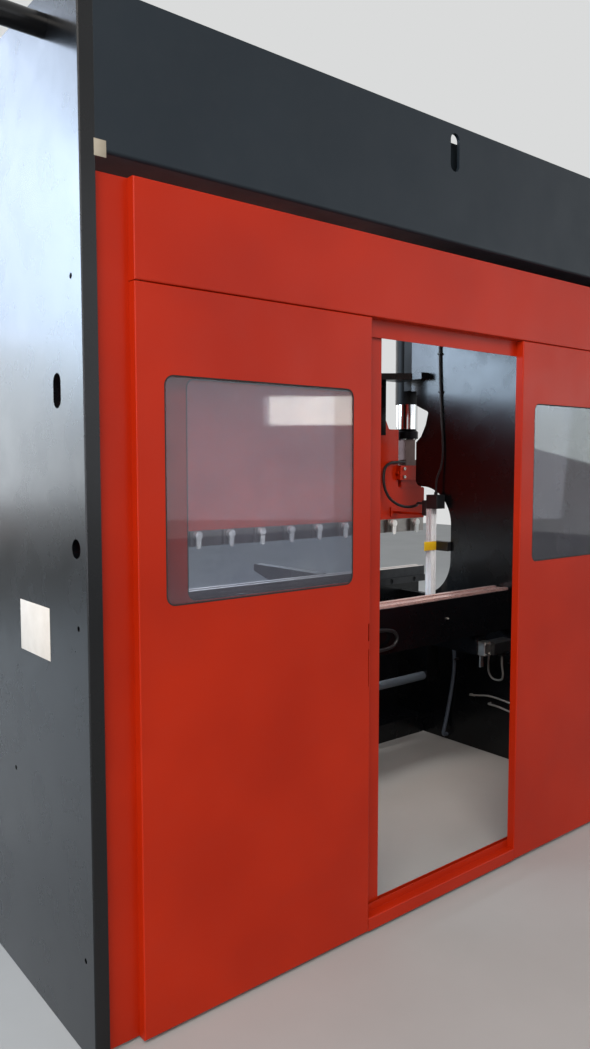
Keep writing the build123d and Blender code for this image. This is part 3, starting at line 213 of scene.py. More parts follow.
def metal(name, colour, drift, roughness, cut=GROUND, edge_mm=0.6, stain=0.0, whole=1.0):
    """Bare metal with lines from its making. whole is how metallic it is under any clear skin."""
    tree = new_surface(name)
    lines = noise(tree, cut[0], 3.0, 0.6, cut[1])
    base = patches(tree, colour, drift, 90, 5.0, 0.65)
    if stain:
        base = patches(tree, base, GRIME, 35, 7.0, 0.72, stain, 0.5, 0.72)
    sheen = span(lines, roughness * 0.75, roughness * 1.3)
    looks = {
        "Base Color": base,
        "Metallic": whole,
        "Roughness": node(tree, "ShaderNodeMapRange", sheen).outputs[0],
        "Normal": skin(tree, lines, cut[2], edge_mm),
    }
    shader = node(tree, "ShaderNodeBsdfPrincipled", looks)
    node(tree, "ShaderNodeOutputMaterial", {"Surface": shader.outputs[0]})


print("lines of a grinding wheel in mm:", GROUND)

# %% Metals
# Surface ground steel: warm grey, oily stains, reflections smeared across the lines.
metal("ground_steel", "#B4B2AE", "#A3A19D", 0.27, stain=0.25)
# Blackened tool steel of the die holder: oiled and dark, with a dull glow.
metal("dark_tool_steel", "#4A4B4D", "#3B3C3E", 0.42, stain=0.4)
# Milled steel of the tool holder and clamps: flat grey, rougher than ground steel.
metal("milled_steel", "#A39E9A", "#918C88", 0.4, stain=0.15)
# Hardened rail steel: smooth and bright; its pink base colour is a painted reflection of the red sheets
# around it.
metal("rail_steel", "#E6C6C2", "#D2B1AC", 0.28, RAIL_CUT, stain=0.1, whole=0.75)
# Bright zinc plating of the guides' end blocks: silvery, with a fine cloudy grain.
metal("bright_zinc", "#E4E4E0", "#D6D6D1", 0.36, ZINC_GRAIN, 0.3)
# Hard chrome of the piston rods, ground and polished: nearly a mirror.
metal("hard_chrome", "#D7D8DA", "#CFD0D2", 0.06, POLISHED_UPRIGHT, 0.4)
# Anodised aluminium extrusion of the scale: matt and hardly metallic; its near white colour is partly
# the pale clear skin and partly painted light on a post that stands in shade inside.
metal("aluminium_extrusion", "#F2F4F6", "#E6E9EC", 0.42, DRAWN_UPRIGHT, whole=0.15)
# White zinc plating of the clamps' screws: pale and cloudy, since the plating is matt.
metal("white_zinc", "#F2F2EF", "#E6E6E2", 0.34, ZINC_GRAIN, 0.3, whole=0.3)
# Zinc plated steel of screws, pipes and blocks: middle grey with a soft shine.
metal("zinc_plated_steel", "#B9BBB8", "#A9AAA4", 0.3, COARSE_ZINC_GRAIN, 0.3)
print(len(surfaces), "surfaces so far")

# %% [markdown]
# ## Two steels on one piece
# The V die is blackened all over and ground bright on top, where faces that look up also get a
# painted highlight and a painted reflection of the red ram. Each ram link is near black at its flange
# and bare on its column, whose dark reddish brown is painted shade and a painted reflection of the
# red ram. Each is one solid, so a second material can't simply be put on it.
# A share between two colours can come from where a point lies or from how far its face looks up.

# %% Two steels
BLACKENED = ("#4A4B4D", "#3B3C3E", 0.42)  # two tones and a roughness
# Up-facing tones of the V die: ground steel, made lighter and pinker by a painted highlight and a
# painted reflection of the red ram.
LIT_GROUND_TOP = ("#D8CFCB", "#C9C0BC", 0.3)
# The link's column: bare steel, darkened and reddened by painted shade and a painted reflection of the
# red ram.
RED_SHADED_COLUMN = ("#62524F", "#544542", 0.5)
DARK_FLANGE = ("#131314", "#1A1A1C", 0.4)


def two_steels(name, reading, start, end, low, high):
    """Steel whose look turns from low to high as the Z of a Texture Coordinate goes start to end."""
    tree = new_surface(name)
    where = node(tree, "ShaderNodeTexCoord").outputs[reading]
    height = node(tree, "ShaderNodeSeparateXYZ", {"Vector": where}).outputs["Z"]
    share = node(tree, "ShaderNodeMapRange", span(height, 0.0, 1.0, start, end)).outputs[0]
    tones = {0: share}
    for socket, steel in ((6, low), (7, high)):
        tones[socket] = patches(tree, steel[0], steel[1], 60, 5.0, 0.65)
    sheen = span(share, low[2], high[2], 0.0, 1.0)
    looks = {
        "Base Color": node(tree, "ShaderNodeMix", tones, data_type="RGBA").outputs[2],
        "Metallic": 1.0,
        "Roughness": node(tree, "ShaderNodeMapRange", sheen).outputs[0],
        "Normal": skin(tree, noise(tree, GROUND[0], 3.0, 0.6, GROUND[1]), GROUND[2], 0.6),
    }
    shader = node(tree, "ShaderNodeBsdfPrincipled", looks)
    node(tree, "ShaderNodeOutputMaterial", {"Surface": shader.outputs[0]})


# The V die: faces that look up are ground bright, with a painted highlight and a painted reflection of
# the red ram; all others are blackened.
two_steels("lit_ground_top_over_blackened_steel", "Normal", 0.3, 0.6, BLACKENED, LIT_GROUND_TOP)
# The ram link: near black from the flange's underside up, and below it bare steel whose dark reddish
# brown is painted shade and a painted reflection of the red ram.
two_steels("dark_flange_over_red_shaded_column", "Object", 1.676, 1.684, RED_SHADED_COLUMN, DARK_FLANGE)
print(len(surfaces), "surfaces so far")

# %% [markdown]
# ## Plastic, rubber and paper
# These mirror the room weakly and softly. What sets them apart is the grain that their mould or
# their fibres leave, so one function takes the grain's width and depth and can make them all.

# %% How soft and moulded skins are made
# The grain's width and depth in millimetres. A spark eroded mould leaves one of about 0.2 mm, and
# it is drawn coarser, so that it shows.
MOULDED = (0.6, 0.02)


def soft(name, colour, drift, roughness, grain=MOULDED):
    """A matt skin with a fine grain and a slight drift of tone."""
    tree = new_surface(name)
    sheen = span(noise(tree, 18, 4.0), roughness * 0.85, roughness * 1.15)
    looks = {
        "Base Color": patches(tree, colour, drift, 45, 4.0),
        "Roughness": node(tree, "ShaderNodeMapRange", sheen).outputs[0],
        "Normal": skin(tree, noise(tree, grain[0], 2.0), grain[1], 0.5),
    }
    shader = node(tree, "ShaderNodeBsdfPrincipled", looks)
    node(tree, "ShaderNodeOutputMaterial", {"Surface": shader.outputs[0]})


print("grain of a mould in mm:", MOULDED)

# %% Plastics, rubber and paper
# Moulded ABS: black with a leathery grain that greys its highlights.
soft("black_moulded_plastic", "#17181A", "#1D1E20", 0.45)
# Extruded PVC cable sheaths: smooth and slightly greasy, with a thin line of light along them.
soft("black_cable_sheath", "#141416", "#1A1A1C", 0.42)
soft("grey_cable_sheath", "#82827E", "#777773", 0.36)
soft("blue_grey_conduit", "#4E5864", "#47515D", 0.42)
# Pressed rubber: dead matt, so that only its shape shows.
soft("black_rubber", "#121213", "#191919", 0.7)
# Polished plastic of the stop button and its plate: bright and glossy, made to be seen.
soft("red_button_plastic", "#A8160F", "#9C140E", 0.3)
soft("yellow_plastic", "#D9A514", "#CF9B10", 0.4)
# Uncoated paper: cream, matt, with the faint unevenness of its fibres.
soft("white_paper", "#DAD0C3", "#D1C6B8", 0.75, (1.2, 0.03))
# Creped masking tape: tan and matt, crossed by small wrinkles.
soft("masking_tape", "#A89F8E", "#9C9382", 0.8, (1.0, 0.06))
# Printed vinyl of the tag: flat strong yellow.
soft("yellow_tag", "#D8B021", "#CCA41B", 0.5)
# Screen glass over a dark display: almost black, mirrors sharply, nearly without grain.
soft("screen_glass", "#0C1014", "#0F1418", 0.12, (2.0, 0.001))
print(len(surfaces), "surfaces so far")

# %% [markdown]
# ## Window panes
# The panes are extruded polycarbonate sheet, a few millimetres thick, with wiping smears and a
# veil of dust. A glass shader bends light twice through a thin sheet and makes noise for nothing.
# A transparent shader with a Fresnel share of mirror looks the same and stays clean. Light that
# leaves the sheet meets the surface from inside, so there the index is turned upside down.

# %% Clear panes
INDEX = 1.55  # refraction of polycarbonate


def clear_sheet(name):
    """A clear sheet: see-through, mirroring more at a slant, slightly hazy."""
    tree = new_surface(name)
    smear = noise(tree, 160, 5.0, 0.65)
    wiped = node(tree, "ShaderNodeMapRange", span(smear, 0.0, 1.0)).outputs[0]
    tones = {0: wiped, 6: "#EEF1F4", 7: "#E4E8EE"}
    tint = node(tree, "ShaderNodeMix", tones, data_type="RGBA").outputs[2]
    sheen = node(tree, "ShaderNodeMapRange", span(smear, 0.015, 0.05)).outputs[0]
    through = node(tree, "ShaderNodeBsdfTransparent", {"Color": tint}).outputs[0]
    mirror = node(tree, "ShaderNodeBsdfGlossy", {"Roughness": sheen}).outputs[0]
    haze = node(tree, "ShaderNodeBsdfDiffuse", {"Color": "#B9B4C4"}).outputs[0]
    inside = node(tree, "ShaderNodeNewGeometry").outputs["Backfacing"]
    bending = node(tree, "ShaderNodeMapRange", span(inside, INDEX, 1 / INDEX, 0.0, 1.0)).outputs[0]
    slant = node(tree, "ShaderNodeFresnel", {"IOR": bending}).outputs[0]
    clear = node(tree, "ShaderNodeMixShader", {0: slant, 1: through, 2: mirror}).outputs[0]
    dust = span(noise(tree, 300, 6.0, 0.7), 0.02, 0.06)
    veil = node(tree, "ShaderNodeMapRange", dust).outputs[0]
    dusty = node(tree, "ShaderNodeMixShader", {0: veil, 1: clear, 2: haze}).outputs[0]
    node(tree, "ShaderNodeOutputMaterial", {"Surface": dusty})


# Clear extruded polycarbonate: a faint cool tint, with the room mirrored in it at a slant.
clear_sheet("clear_polycarbonate")
print(len(surfaces), "surfaces in all")

# %% [markdown]
# ## Dress the CAD pieces
# The record names a finish for every piece, as a parts list does. A few pieces have a finish of
# their own on the real machine, and those are named one by one.

# %% Dress the CAD pieces
FINISH = {
    "black_paint": "black_gloss_paint",
    "slate_paint": "slate_powder_coat",
    "red_paint": "red_powder_coat",
    "steel": "ground_steel",
    "chrome": "hard_chrome",
    "aluminium": "aluminium_extrusion",
    "pane": "clear_polycarbonate",
    "black_plastic": "black_moulded_plastic",
    "cable": "black_cable_sheath",
    "light_cable": "grey_cable_sheath",
    "grey_paint": "grey_powder_coat",
}
SPECIAL = {
    "die_holder": "dark_tool_steel",
    "v_die": "lit_ground_top_over_blackened_steel",
    "tool_holder": "milled_steel",
    "lifting_pins": "black_gloss_paint",
    "tie_tube": "tube_grey_paint",
    "ram_links": "dark_flange_over_red_shaded_column",
    "cylinders": "satin_black_paint",
    "tool_clamps": "milled_steel",
    "gauge_rails": "rail_steel",
    "clamp_screws": "white_zinc",
    "conduit": "blue_grey_conduit",
    "guide_end_blocks": "bright_zinc",
    "valve_blocks": "zinc_plated_steel",
    "hydraulic_pipes": "zinc_plated_steel",
    "door_hangers": "zinc_plated_steel",
}
for entry in frame["record"]["subparts"]:
    name = entry["node"]
    nodes[name].data.materials.clear()
    nodes[name].data.materials.append(surfaces[SPECIAL.get(name, FINISH[entry["material_slot"]])])
print("dressed", len(nodes), "pieces")

# %% [markdown]
# ## Places
# The new pieces have to sit on the CAD pieces to a tenth of a millimetre. A machine is drawn in
# millimetres, and here depths start at the guard's rear face and run towards the operator. Blender
# counts in metres, with Y towards the rear. One small function turns the first into the second, so
# every number below can be read like a size on the drawing. Where a new piece follows the outline
# of a CAD piece, its place is read from that piece's box, so that it follows when a size changes.

# %% Places
REAR = round(start_bounds[1][1] * 1000, 1)  # the guard's rear face along Y


def at(x, depth, z):
    """A point of the machine in metres from x, depth and height in millimetres."""
    return Vector((x / 1000, (REAR - depth) / 1000, z / 1000))


def box_of(name):
    """The ranges of a CAD piece along x, depth and z, to a tenth of a millimetre."""
    x, y, z = zip(*nodes[name].bound_box)
    ranges = {
        "x": (min(x) * 1000, max(x) * 1000),
        "depth": (REAR - max(y) * 1000, REAR - min(y) * 1000),
        "z": (min(z) * 1000, max(z) * 1000),
    }
    return {axis: (round(low, 1), round(high, 1)) for axis, (low, high) in ranges.items()}


def middle(ends):
    """The middle of a range."""
    return sum(ends) / 2


print("the guard's rear face is at y =", REAR / 1000)
print("the sliding door's box is", box_of("sliding_door"))

# %% [markdown]
# ## Labels and tape
# The near side frame carries a blank paper label, masking tape is left at the corner of the rear
# plate, and the scale's post has a plain yellow tag. Paint alone could draw them, but each has a
# thickness that catches light at its edge. So each is a thin block, made from a cube operator
# stretched to its place, with its edges bevelled.

# %% Blocks and finished pieces
SMOOTH = 40  # edges that turn by more than so many degrees stay sharp


def block(bm, x, depth, z, soften):
    """A block between two values of x, of depth and of height, with its edges rounded."""
    low = at(x[0], depth[1], z[0])
    high = at(x[1], depth[0], z[1])
    place = Matrix.Translation((low + high) / 2) @ Matrix.Diagonal((*(high - low), 1.0))
    made = bmesh.ops.create_cube(bm, size=1.0, matrix=place)
    edges = list({edge for vert in made["verts"] for edge in vert.link_edges})
    rounding = {"offset": soften / 1000, "offset_type": "OFFSET", "segments": 2, "profile": 0.5}
    bmesh.ops.bevel(bm, geom=edges, affect="EDGES", material=-1, **rounding)


def finish_piece(name, bm, look, body, smooth=SMOOTH):
    """Turns the mesh into an object that moves with its body."""
    bmesh.ops.recalc_face_normals(bm, faces=bm.faces)
    mesh = bpy.data.meshes.new(name)
    bm.to_mesh(mesh)
    bm.free()
    mesh.materials.append(surfaces[look])
    mesh.polygons.foreach_set("use_smooth", [True] * len(mesh.polygons))
    mesh.set_sharp_from_angle(angle=math.radians(smooth))
    piece = bpy.data.objects.new(name, mesh)
    scene.collection.objects.link(piece)
    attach(piece, body)
    return piece


print("edges over", SMOOTH, "degrees stay sharp")

# %% Labels, tape and tag
SIDE_OUTER = 1340.0  # the near side frame's outer face along X, on which the label sticks
PLATE_FACE = box_of("rear_cross_plate")["depth"][0]  # on which the tape sticks
POST_FACE = box_of("linear_scales")["depth"][0]  # just off it lies the tag

bm = bmesh.new()
block(bm, x=(SIDE_OUTER + 0.05, SIDE_OUTER + 0.5), depth=(246, 457), z=(1006, 1150), soften=0.15)
finish_piece("blank_label", bm, "white_paper", "frame")

bm = bmesh.new()
block(bm, x=(1271, 1303), depth=(PLATE_FACE - 0.4, PLATE_FACE - 0.05), z=(2267, 2307), soften=0.1)
finish_piece("tape_square", bm, "masking_tape", "frame")

bm = bmesh.new()
block(bm, x=(-1289, -1176), depth=(POST_FACE - 1.0, POST_FACE - 0.4), z=(1060, 1109), soften=0.2)
finish_piece("scale_tag", bm, "yellow_tag", "frame")
print("labels done")

# %% [markdown]
# ## Fasteners that show
# A screw's head is round outside and has a six sided socket, and a bolt's head is six sided on a
# round washer. Both can be grown from one loop of edges: it is extruded again and again, and the
# points of each new loop are moved onto a circle or a hexagon, as a turner and then a miller would
# shape them. Bridging a round loop to a six sided one is the other way, but it may come out twisted.

# %% Loops of edges
ROUND, HEXAGON = 24, 6


def shape_loop(verts, radius, height, corners):
    """Moves points straight out or in, onto a ring with that many corners, in millimetres."""
    half = math.pi / corners
    for vert in verts:
        turn = math.atan2(vert.co.y, vert.co.x)
        within = (turn + half) % (2 * half) - half
        reach = radius * math.cos(half) / math.cos(half - abs(within))
        vert.co = (reach * math.cos(turn), reach * math.sin(turn), height)


def grown(*rings):
    """A closed skin through rings, each a radius, a height and how many corners it has."""
    bm = bmesh.new()
    verts = bmesh.ops.create_circle(bm, segments=ROUND, radius=1.0)["verts"]
    shape_loop(verts, *rings[0])
    foot = edges = list(bm.edges)
    for ring in rings[1:]:
        made = bmesh.ops.extrude_edge_only(bm, edges=edges)["geom"]
        edges = [part for part in made if isinstance(part, bmesh.types.BMEdge)]
        shape_loop([part for part in made if isinstance(part, bmesh.types.BMVert)], *ring)
    bmesh.ops.edgeloop_fill(bm, edges=foot)
    bmesh.ops.edgeloop_fill(bm, edges=edges)
    return bm


print("a loop has", ROUND, "points")

# %% Heads and nuts, in millimetres along Z


def cap_screw(thread):
    """A socket head: half again as wide as the thread is thick, and as high."""
    return grown(
        (0.75 * thread, 0.0, ROUND),
        (0.75 * thread, 0.88 * thread, ROUND),
        (0.69 * thread, thread, ROUND),
        (0.46 * thread, thread, HEXAGON),
        (0.46 * thread, 0.45 * thread, HEXAGON),
    )


def hex_bolt(thread):
    """A hexagon head on its washer, with its top's corners turned off."""
    return grown(
        (1.15 * thread, 0.0, ROUND),
        (1.15 * thread, 0.16 * thread, ROUND),
        (0.96 * thread, 0.16 * thread, HEXAGON),
        (0.96 * thread, 0.72 * thread, HEXAGON),
        (0.8256 * thread, 0.82 * thread, ROUND),
    )


def pipe_nut():
    """A hexagon nut that narrows to a round nose, where the pipe goes in."""
    return grown((20, 0, HEXAGON), (20, 20, HEXAGON), (17, 22, ROUND), (15, 30, ROUND))


def repeated(shape, places):
    """Copies a shape in millimetres to many places, each a point in metres and a direction."""
    single = bpy.data.meshes.new("single")
    shape.to_mesh(single)
    shape.free()
    bm = bmesh.new()
    for point, direction in places:
        known = len(bm.verts)
        bm.from_mesh(single)
        bm.verts.ensure_lookup_table()
        turn = Vector(direction).to_track_quat("Z", "Y").to_matrix().to_4x4()
        place = Matrix.Translation(point) @ turn @ Matrix.Scale(0.001, 4)
        bmesh.ops.transform(bm, matrix=place, verts=bm.verts[known:])
    bpy.data.meshes.remove(single)
    return bm


print("cap screws, bolts and pipe nuts can be drawn")

# %% [markdown]
# ## Where the fasteners sit
# Each screw holds something: the link brackets on the ram, the flanges under the links, the end
# blocks on their guides, the clamps in the die holder's pockets, the rails' beam, and the pipes.
# Each kind is drawn once and copied, as a workshop takes them from one box.

# %% Screws and bolts of the ram
SIDES = (-1, 1)  # the far and the near half of the machine
REARWARD, FORWARD, DOWN = (0, 1, 0), (0, -1, 0), (0, 0, -1)
BRACKET_FACE = 1475  # depth of the link brackets' face
LINK_X, LINK_DEPTH = 1402, 1540  # the middle of a ram link
FLANGE_Z, BOLT_CIRCLE = 1686, 53  # the flange's underside, and the radius on which its bolts sit

corners = [(x, z) for x in (1310, 1475) for z in (1462, 1510)]
places = [(at(side * x, BRACKET_FACE, z), REARWARD) for side in SIDES for x, z in corners]
finish_piece("bracket_screws", repeated(cap_screw(12), places), "zinc_plated_steel", "ram_body")

places = []
for side in SIDES:
    for turn in range(30, 360, 60):
        x = side * LINK_X + BOLT_CIRCLE * math.cos(math.radians(turn))
        depth = LINK_DEPTH + BOLT_CIRCLE * math.sin(math.radians(turn))
        places.append((at(x, depth, FLANGE_Z), DOWN))
finish_piece("link_bolts", repeated(hex_bolt(8), places), "zinc_plated_steel", "ram_body")
print(len(places), "bolts hold the two links")

# %% Screws of the guides, the die holder and the beam
GUIDE_X = middle(box_of("ball_screw_right")["x"])  # the end block's middle is the screw's too
END_BLOCK_FACE = box_of("guide_end_blocks")["depth"][0]
HOLDER = box_of("die_holder")
POCKETS, POCKET_DEPTH = 16, 11.8  # the clamps' pockets, measured inwards from the holder's face
BEAM_FACE = box_of("gauge_beam")["depth"][0]

corners = [(x, z) for x in (-15, 15) for z in (593, 643)]
places = [(at(side * (GUIDE_X + x), END_BLOCK_FACE, z), REARWARD) for side in SIDES for x, z in corners]
finish_piece("end_block_screws", repeated(cap_screw(6), places), "zinc_plated_steel", "frame")

pitch = (HOLDER["x"][1] - HOLDER["x"][0]) / POCKETS
depth, z = HOLDER["depth"][0] + POCKET_DEPTH, middle(HOLDER["z"])
places = [(at(HOLDER["x"][0] + (i + 0.5) * pitch, depth, z), REARWARD) for i in range(POCKETS)]
finish_piece("die_clamp_screws", repeated(cap_screw(10), places), "dark_tool_steel", "frame")

places = [(at(side * 801, BEAM_FACE, 802), REARWARD) for side in SIDES]
finish_piece("beam_screws", repeated(cap_screw(8), places), "bright_zinc", "gauge")
print("the die holder's pockets are", pitch, "mm apart")

# %% Nuts of the oil pipes
VALVE = box_of("valve_blocks")  # where the pipes end
TANK_FRONT = box_of("oil_tank")["depth"][1]
MANIFOLD_X, MANIFOLD_DEPTH = 180, 60  # on the tank's front, where they start

places = []
z = middle(VALVE["z"])
for side in SIDES:
    places.append((at(side * LINK_X, VALVE["depth"][0], z), REARWARD))
    places.append((at(side * MANIFOLD_X, TANK_FRONT + MANIFOLD_DEPTH, z), FORWARD))
finish_piece("pipe_nuts", repeated(pipe_nut(), places), "zinc_plated_steel", "frame")
print(len(places), "nuts at z =", z)

# %% [markdown]
# ## Ball screws
# A ball screw is a hardened bar with one round groove for the balls, which climbs 20 mm at every
# turn. The CAD model has the plain bar. A spun profile would leave ragged ends to be cut off, so a
# cylinder is divided along its length instead, and the points that lie in the groove are pushed
# inwards. The two ends stay plain, where the bearings sit.

# %% Ball screws
LEAD = 20.0  # how far the groove climbs at every turn
HALF_GROOVE, GROOVE_DEPTH = 3.4, 1.7
PLAIN_END = 30.0
BAR = box_of("ball_screw_right")
SCREW_RADIUS = (BAR["x"][1] - BAR["x"][0]) / 2 - 0.02  # a hair less, so that it stays inside its box
FACETS, POINT_EVERY = 28, 1.25  # points around the bar, and millimetres between points along it


def groove(along, turn):
    """How deep the groove is at a distance from the bar's start and at an angle about it."""
    if along < PLAIN_END or along > BAR["depth"][1] - BAR["depth"][0] - PLAIN_END:
        return 0.0
    behind = (along - LEAD * turn / (2 * math.pi)) % LEAD
    reach = min(behind, LEAD - behind) / HALF_GROOVE
    return GROOVE_DEPTH * math.sqrt(max(0.0, 1 - reach * reach))


def threaded_bar(x):
    """The whole bar about its axis at x."""
    start, end = [at(x, depth, middle(BAR["z"])) for depth in BAR["depth"]]
    length = BAR["depth"][1] - BAR["depth"][0]
    place = Matrix.Translation((start + end) / 2) @ Matrix.Rotation(math.radians(90), 4, "X")
    size = {"radius1": SCREW_RADIUS / 1000, "radius2": SCREW_RADIUS / 1000, "depth": length / 1000}
    bm = bmesh.new()
    bmesh.ops.create_cone(bm, cap_ends=True, segments=FACETS, matrix=place, **size)
    sides = [edge for edge in bm.edges if edge.calc_length() > length / 2000]
    cuts = round(length / POINT_EVERY) - 1
    bmesh.ops.subdivide_edges(bm, edges=sides, cuts=cuts, use_grid_fill=True)
    for vert in bm.verts:
        outward = Vector((vert.co.x - start.x, 0.0, vert.co.z - start.z)).normalized()
        depth = groove((start.y - vert.co.y) * 1000, math.atan2(outward.z, outward.x))
        vert.co -= outward * depth / 1000
    return bm


for side, word in ((1, "right"), (-1, "left")):
    bm = threaded_bar(side * GUIDE_X)
    piece = finish_piece("ball_thread_" + word, bm, "ground_steel", "screw_" + word, 50)
    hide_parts("ball_screw_" + word)
print("two ball screws of", LEAD, "mm lead")

# %% [markdown]
# ## Window seals
# Each pane is held by a black rubber lip that stands a few millimetres into the opening. Its shape
# is a rounded frame with a low, rounded section. A rectangle whose corners are bevelled gives the
# outline. Insetting it step by step, each with its own width and rise, draws the section with
# corners that stay concentric, which scaling would not.

# %% Window seals
PANE_LAP, OPENING_CORNER = 18.0, 28.0  # a pane reaches behind its sheet all round
PANE = box_of("door_window")
LIP_PLAY, LIP_FOOT = 0.2, 1.9  # gap to the sheet around it, and how deep the lip's foot lies
LIP = ((0.0, 1.0), (0.8, 0.5), (2.4, 0.0), (0.8, -0.6), (0.0, -0.9))  # inset and rise of each step


def seal(name, x, depth, body):
    """A rubber lip around the pane whose middle is at x, in the sheet whose face is at depth."""
    sizes = [PANE[axis][1] - PANE[axis][0] for axis in ("x", "z")]
    reach = [(size / 2 - PANE_LAP - LIP_PLAY) / 1000 for size in sizes]
    centre = at(x, depth + LIP_FOOT, middle(PANE["z"]))
    upright = Matrix(((-reach[0], 0, 0, 0), (0, 0, 1, 0), (0, reach[1], 0, 0), (0, 0, 0, 1)))
    bm = bmesh.new()
    place = Matrix.Translation(centre) @ upright
    bmesh.ops.create_grid(bm, x_segments=1, y_segments=1, size=1.0, matrix=place)
    corner = (OPENING_CORNER - LIP_PLAY) / 1000
    rounding = {"offset": corner, "offset_type": "OFFSET", "segments": 8, "profile": 0.5}
    bmesh.ops.bevel(bm, geom=list(bm.verts), affect="VERTICES", material=-1, **rounding)
    bm.normal_update()
    bm.faces.ensure_lookup_table()
    face = bm.faces[0]
    for inset, rise in LIP:
        step = {"thickness": inset / 1000, "depth": rise / 1000}
        bmesh.ops.inset_individual(bm, faces=[face], use_even_offset=True, **step)
    bmesh.ops.delete(bm, geom=[face], context="FACES_ONLY")
    bmesh.ops.bridge_loops(bm, edges=[edge for edge in bm.edges if edge.is_boundary])
    return finish_piece(name, bm, "black_rubber", body, 30)


guard_face = box_of("guard_header")["depth"][0]
fixed_x = box_of("window_panes")["x"][1] - (PANE["x"][1] - PANE["x"][0]) / 2
seal("window_seal_right", fixed_x, guard_face, "frame")
seal("window_seal_left", -fixed_x, guard_face, "frame")
seal("window_seal_door", middle(PANE["x"]), box_of("sliding_door")["depth"][0], "door")
print("three seals")

# %% [markdown]
# ## Pendant and cabinet
# The operator's pendant has a screen, a pad of plain keys and a stop button, and the cabinet's door
# has louvres for air. Keys and louvres are blocks in rows. The stop button and its plate are turned
# parts, so a profile of a few points is spun about its axis, as on a lathe.

# %% Turned parts


def turned(*profile):
    """A round part from pairs of radius and height in millimetres, closed at both ends."""
    bm = bmesh.new()
    points = [bm.verts.new((radius, 0.0, height)) for radius, height in profile]
    edges = [bm.edges.new(pair) for pair in zip(points, points[1:])]
    lathe = {"axis": (0, 0, 1), "cent": (0, 0, 0), "angle": 2 * math.pi, "steps": ROUND}
    bmesh.ops.spin(bm, geom=points + edges, use_merge=True, **lathe)
    bmesh.ops.holes_fill(bm, edges=[edge for edge in bm.edges if edge.is_boundary])
    return bm


print("a turned part has", ROUND, "facets")

# %% Pendant
PENDANT_FACE = 1945.0  # depth of the face towards the operator
bm = bmesh.new()
screen_depth = (PENDANT_FACE - 3.7, PENDANT_FACE - 0.4)
block(bm, x=(1241, 1559), depth=screen_depth, z=(1551, 1799), soften=0.6)
finish_piece("pendant_screen", bm, "screen_glass", "pendant")

KEY_X, KEY_Z = 1330, 1418  # the middle of the first key
KEY_PITCH, ROW_PITCH = 44, 40
KEY_HALF_W, KEY_HALF_H = 15, 11
key_depth = (PENDANT_FACE + 0.1, PENDANT_FACE + 3.5)
bm = bmesh.new()
for row in range(3):
    for column in range(6):
        x, z = KEY_X + KEY_PITCH * column, KEY_Z + ROW_PITCH * row
        wide, high = (x - KEY_HALF_W, x + KEY_HALF_W), (z - KEY_HALF_H, z + KEY_HALF_H)
        block(bm, x=wide, depth=key_depth, z=high, soften=1.2)
finish_piece("pendant_keys", bm, "black_moulded_plastic", "pendant")

STOP = [(at(1260, PENDANT_FACE, 1450), FORWARD)]
bm = repeated(turned((30, 0.1), (30, 3), (28, 4), (20.4, 4)), STOP)
finish_piece("stop_plate", bm, "yellow_plastic", "pendant")
bm = repeated(turned((20.5, 12), (25, 13), (26, 16), (26, 20), (24, 24), (16, 26.5)), STOP)
finish_piece("stop_button", bm, "red_button_plastic", "pendant", 50)
print("pendant done")

# %% Cabinet
LEAF_FACE = -1620.0  # the door's outer face along X
LOWEST_LOUVRE, LOUVRE_PITCH = 1500, 18
HALF_LENGTH, HALF_HEIGHT = 70, 4
outwards = (LEAF_FACE - 4.0, LEAF_FACE - 0.1)
bm = bmesh.new()
for depth in (450, 850):
    for row in range(7):
        z = LOWEST_LOUVRE + LOUVRE_PITCH * row
        along, high = (depth - HALF_LENGTH, depth + HALF_LENGTH), (z - HALF_HEIGHT, z + HALF_HEIGHT)
        block(bm, x=outwards, depth=along, z=high, soften=1.4)
finish_piece("cabinet_louvres", bm, "grey_powder_coat", "cabinet_leaf")
print("louvres done")

# %% [markdown]
# ## Cable clips
# The cables on the far frame's inner face are held by moulded clips. Each is a small bevelled block
# that rises from the frame and closes over its cable, because from here no more of a clip shows.

# %% Cable clips
SIDE_INNER = box_of("filler_strips")["x"][0]  # the strips reach the far side frame's inner face
CLIPS = ((1196, 2140, 17), (1187, 1933, 17), (1046, 470, 30))  # each one's depth, z and thickness
bm = bmesh.new()
for depth, z, thickness in CLIPS:
    from_frame = (SIDE_INNER + 0.05, SIDE_INNER + thickness)
    block(bm, x=from_frame, depth=(depth - 10, depth + 10), z=(z - 6, z + 6), soften=2.0)
finish_piece("cable_clips", bm, "black_moulded_plastic", "frame")
print("clips done")

# %% [markdown]
# ## Floor
# A plain pale floor shows where the machine stands and keeps its shadow. It is one large square,
# made by the grid operator, with the slow drift of tone and the fine texture of power floated
# concrete.

# %% Floor
bm = bmesh.new()
bmesh.ops.create_grid(bm, x_segments=1, y_segments=1, size=14.0)
mesh = bpy.data.meshes.new("floor")
bm.to_mesh(mesh)
bm.free()
floor = bpy.data.objects.new("floor", mesh)
scene.collection.objects.link(floor)

# Pale concrete: matt, with soft clouds about a metre wide and a texture that stays fine.
tree = new_surface("pale_concrete")
texture = {"Height": noise(tree, 8, 4.0), "Distance": 0.15 / 1000, "Strength": 1.0}
looks = {
    "Base Color": patches(tree, "#ADACA9", "#A3A29F", 900, 5.0),
    "Roughness": 0.6,
    "Normal": node(tree, "ShaderNodeBump", texture).outputs[0],
}
shader = node(tree, "ShaderNodeBsdfPrincipled", looks)
node(tree, "ShaderNodeOutputMaterial", {"Surface": shader.outputs[0]})
mesh.materials.append(surfaces["pale_concrete"])
print("floor of", [round(side, 1) for side in floor.dimensions[:2]], "m")

# %% [markdown]
# ## Light
# Soft area lamps stand where the windows of a hall would be. Black gloss paint has hardly a colour
# of its own, so what is seen in it is the lamps: most of these are placed where the frame and the
# panes mirror them into the camera. They could be strong spots instead, but then the red paint
# would clip. So they are large and weak, and two small ones reach the dark inside.

# %% Lamps


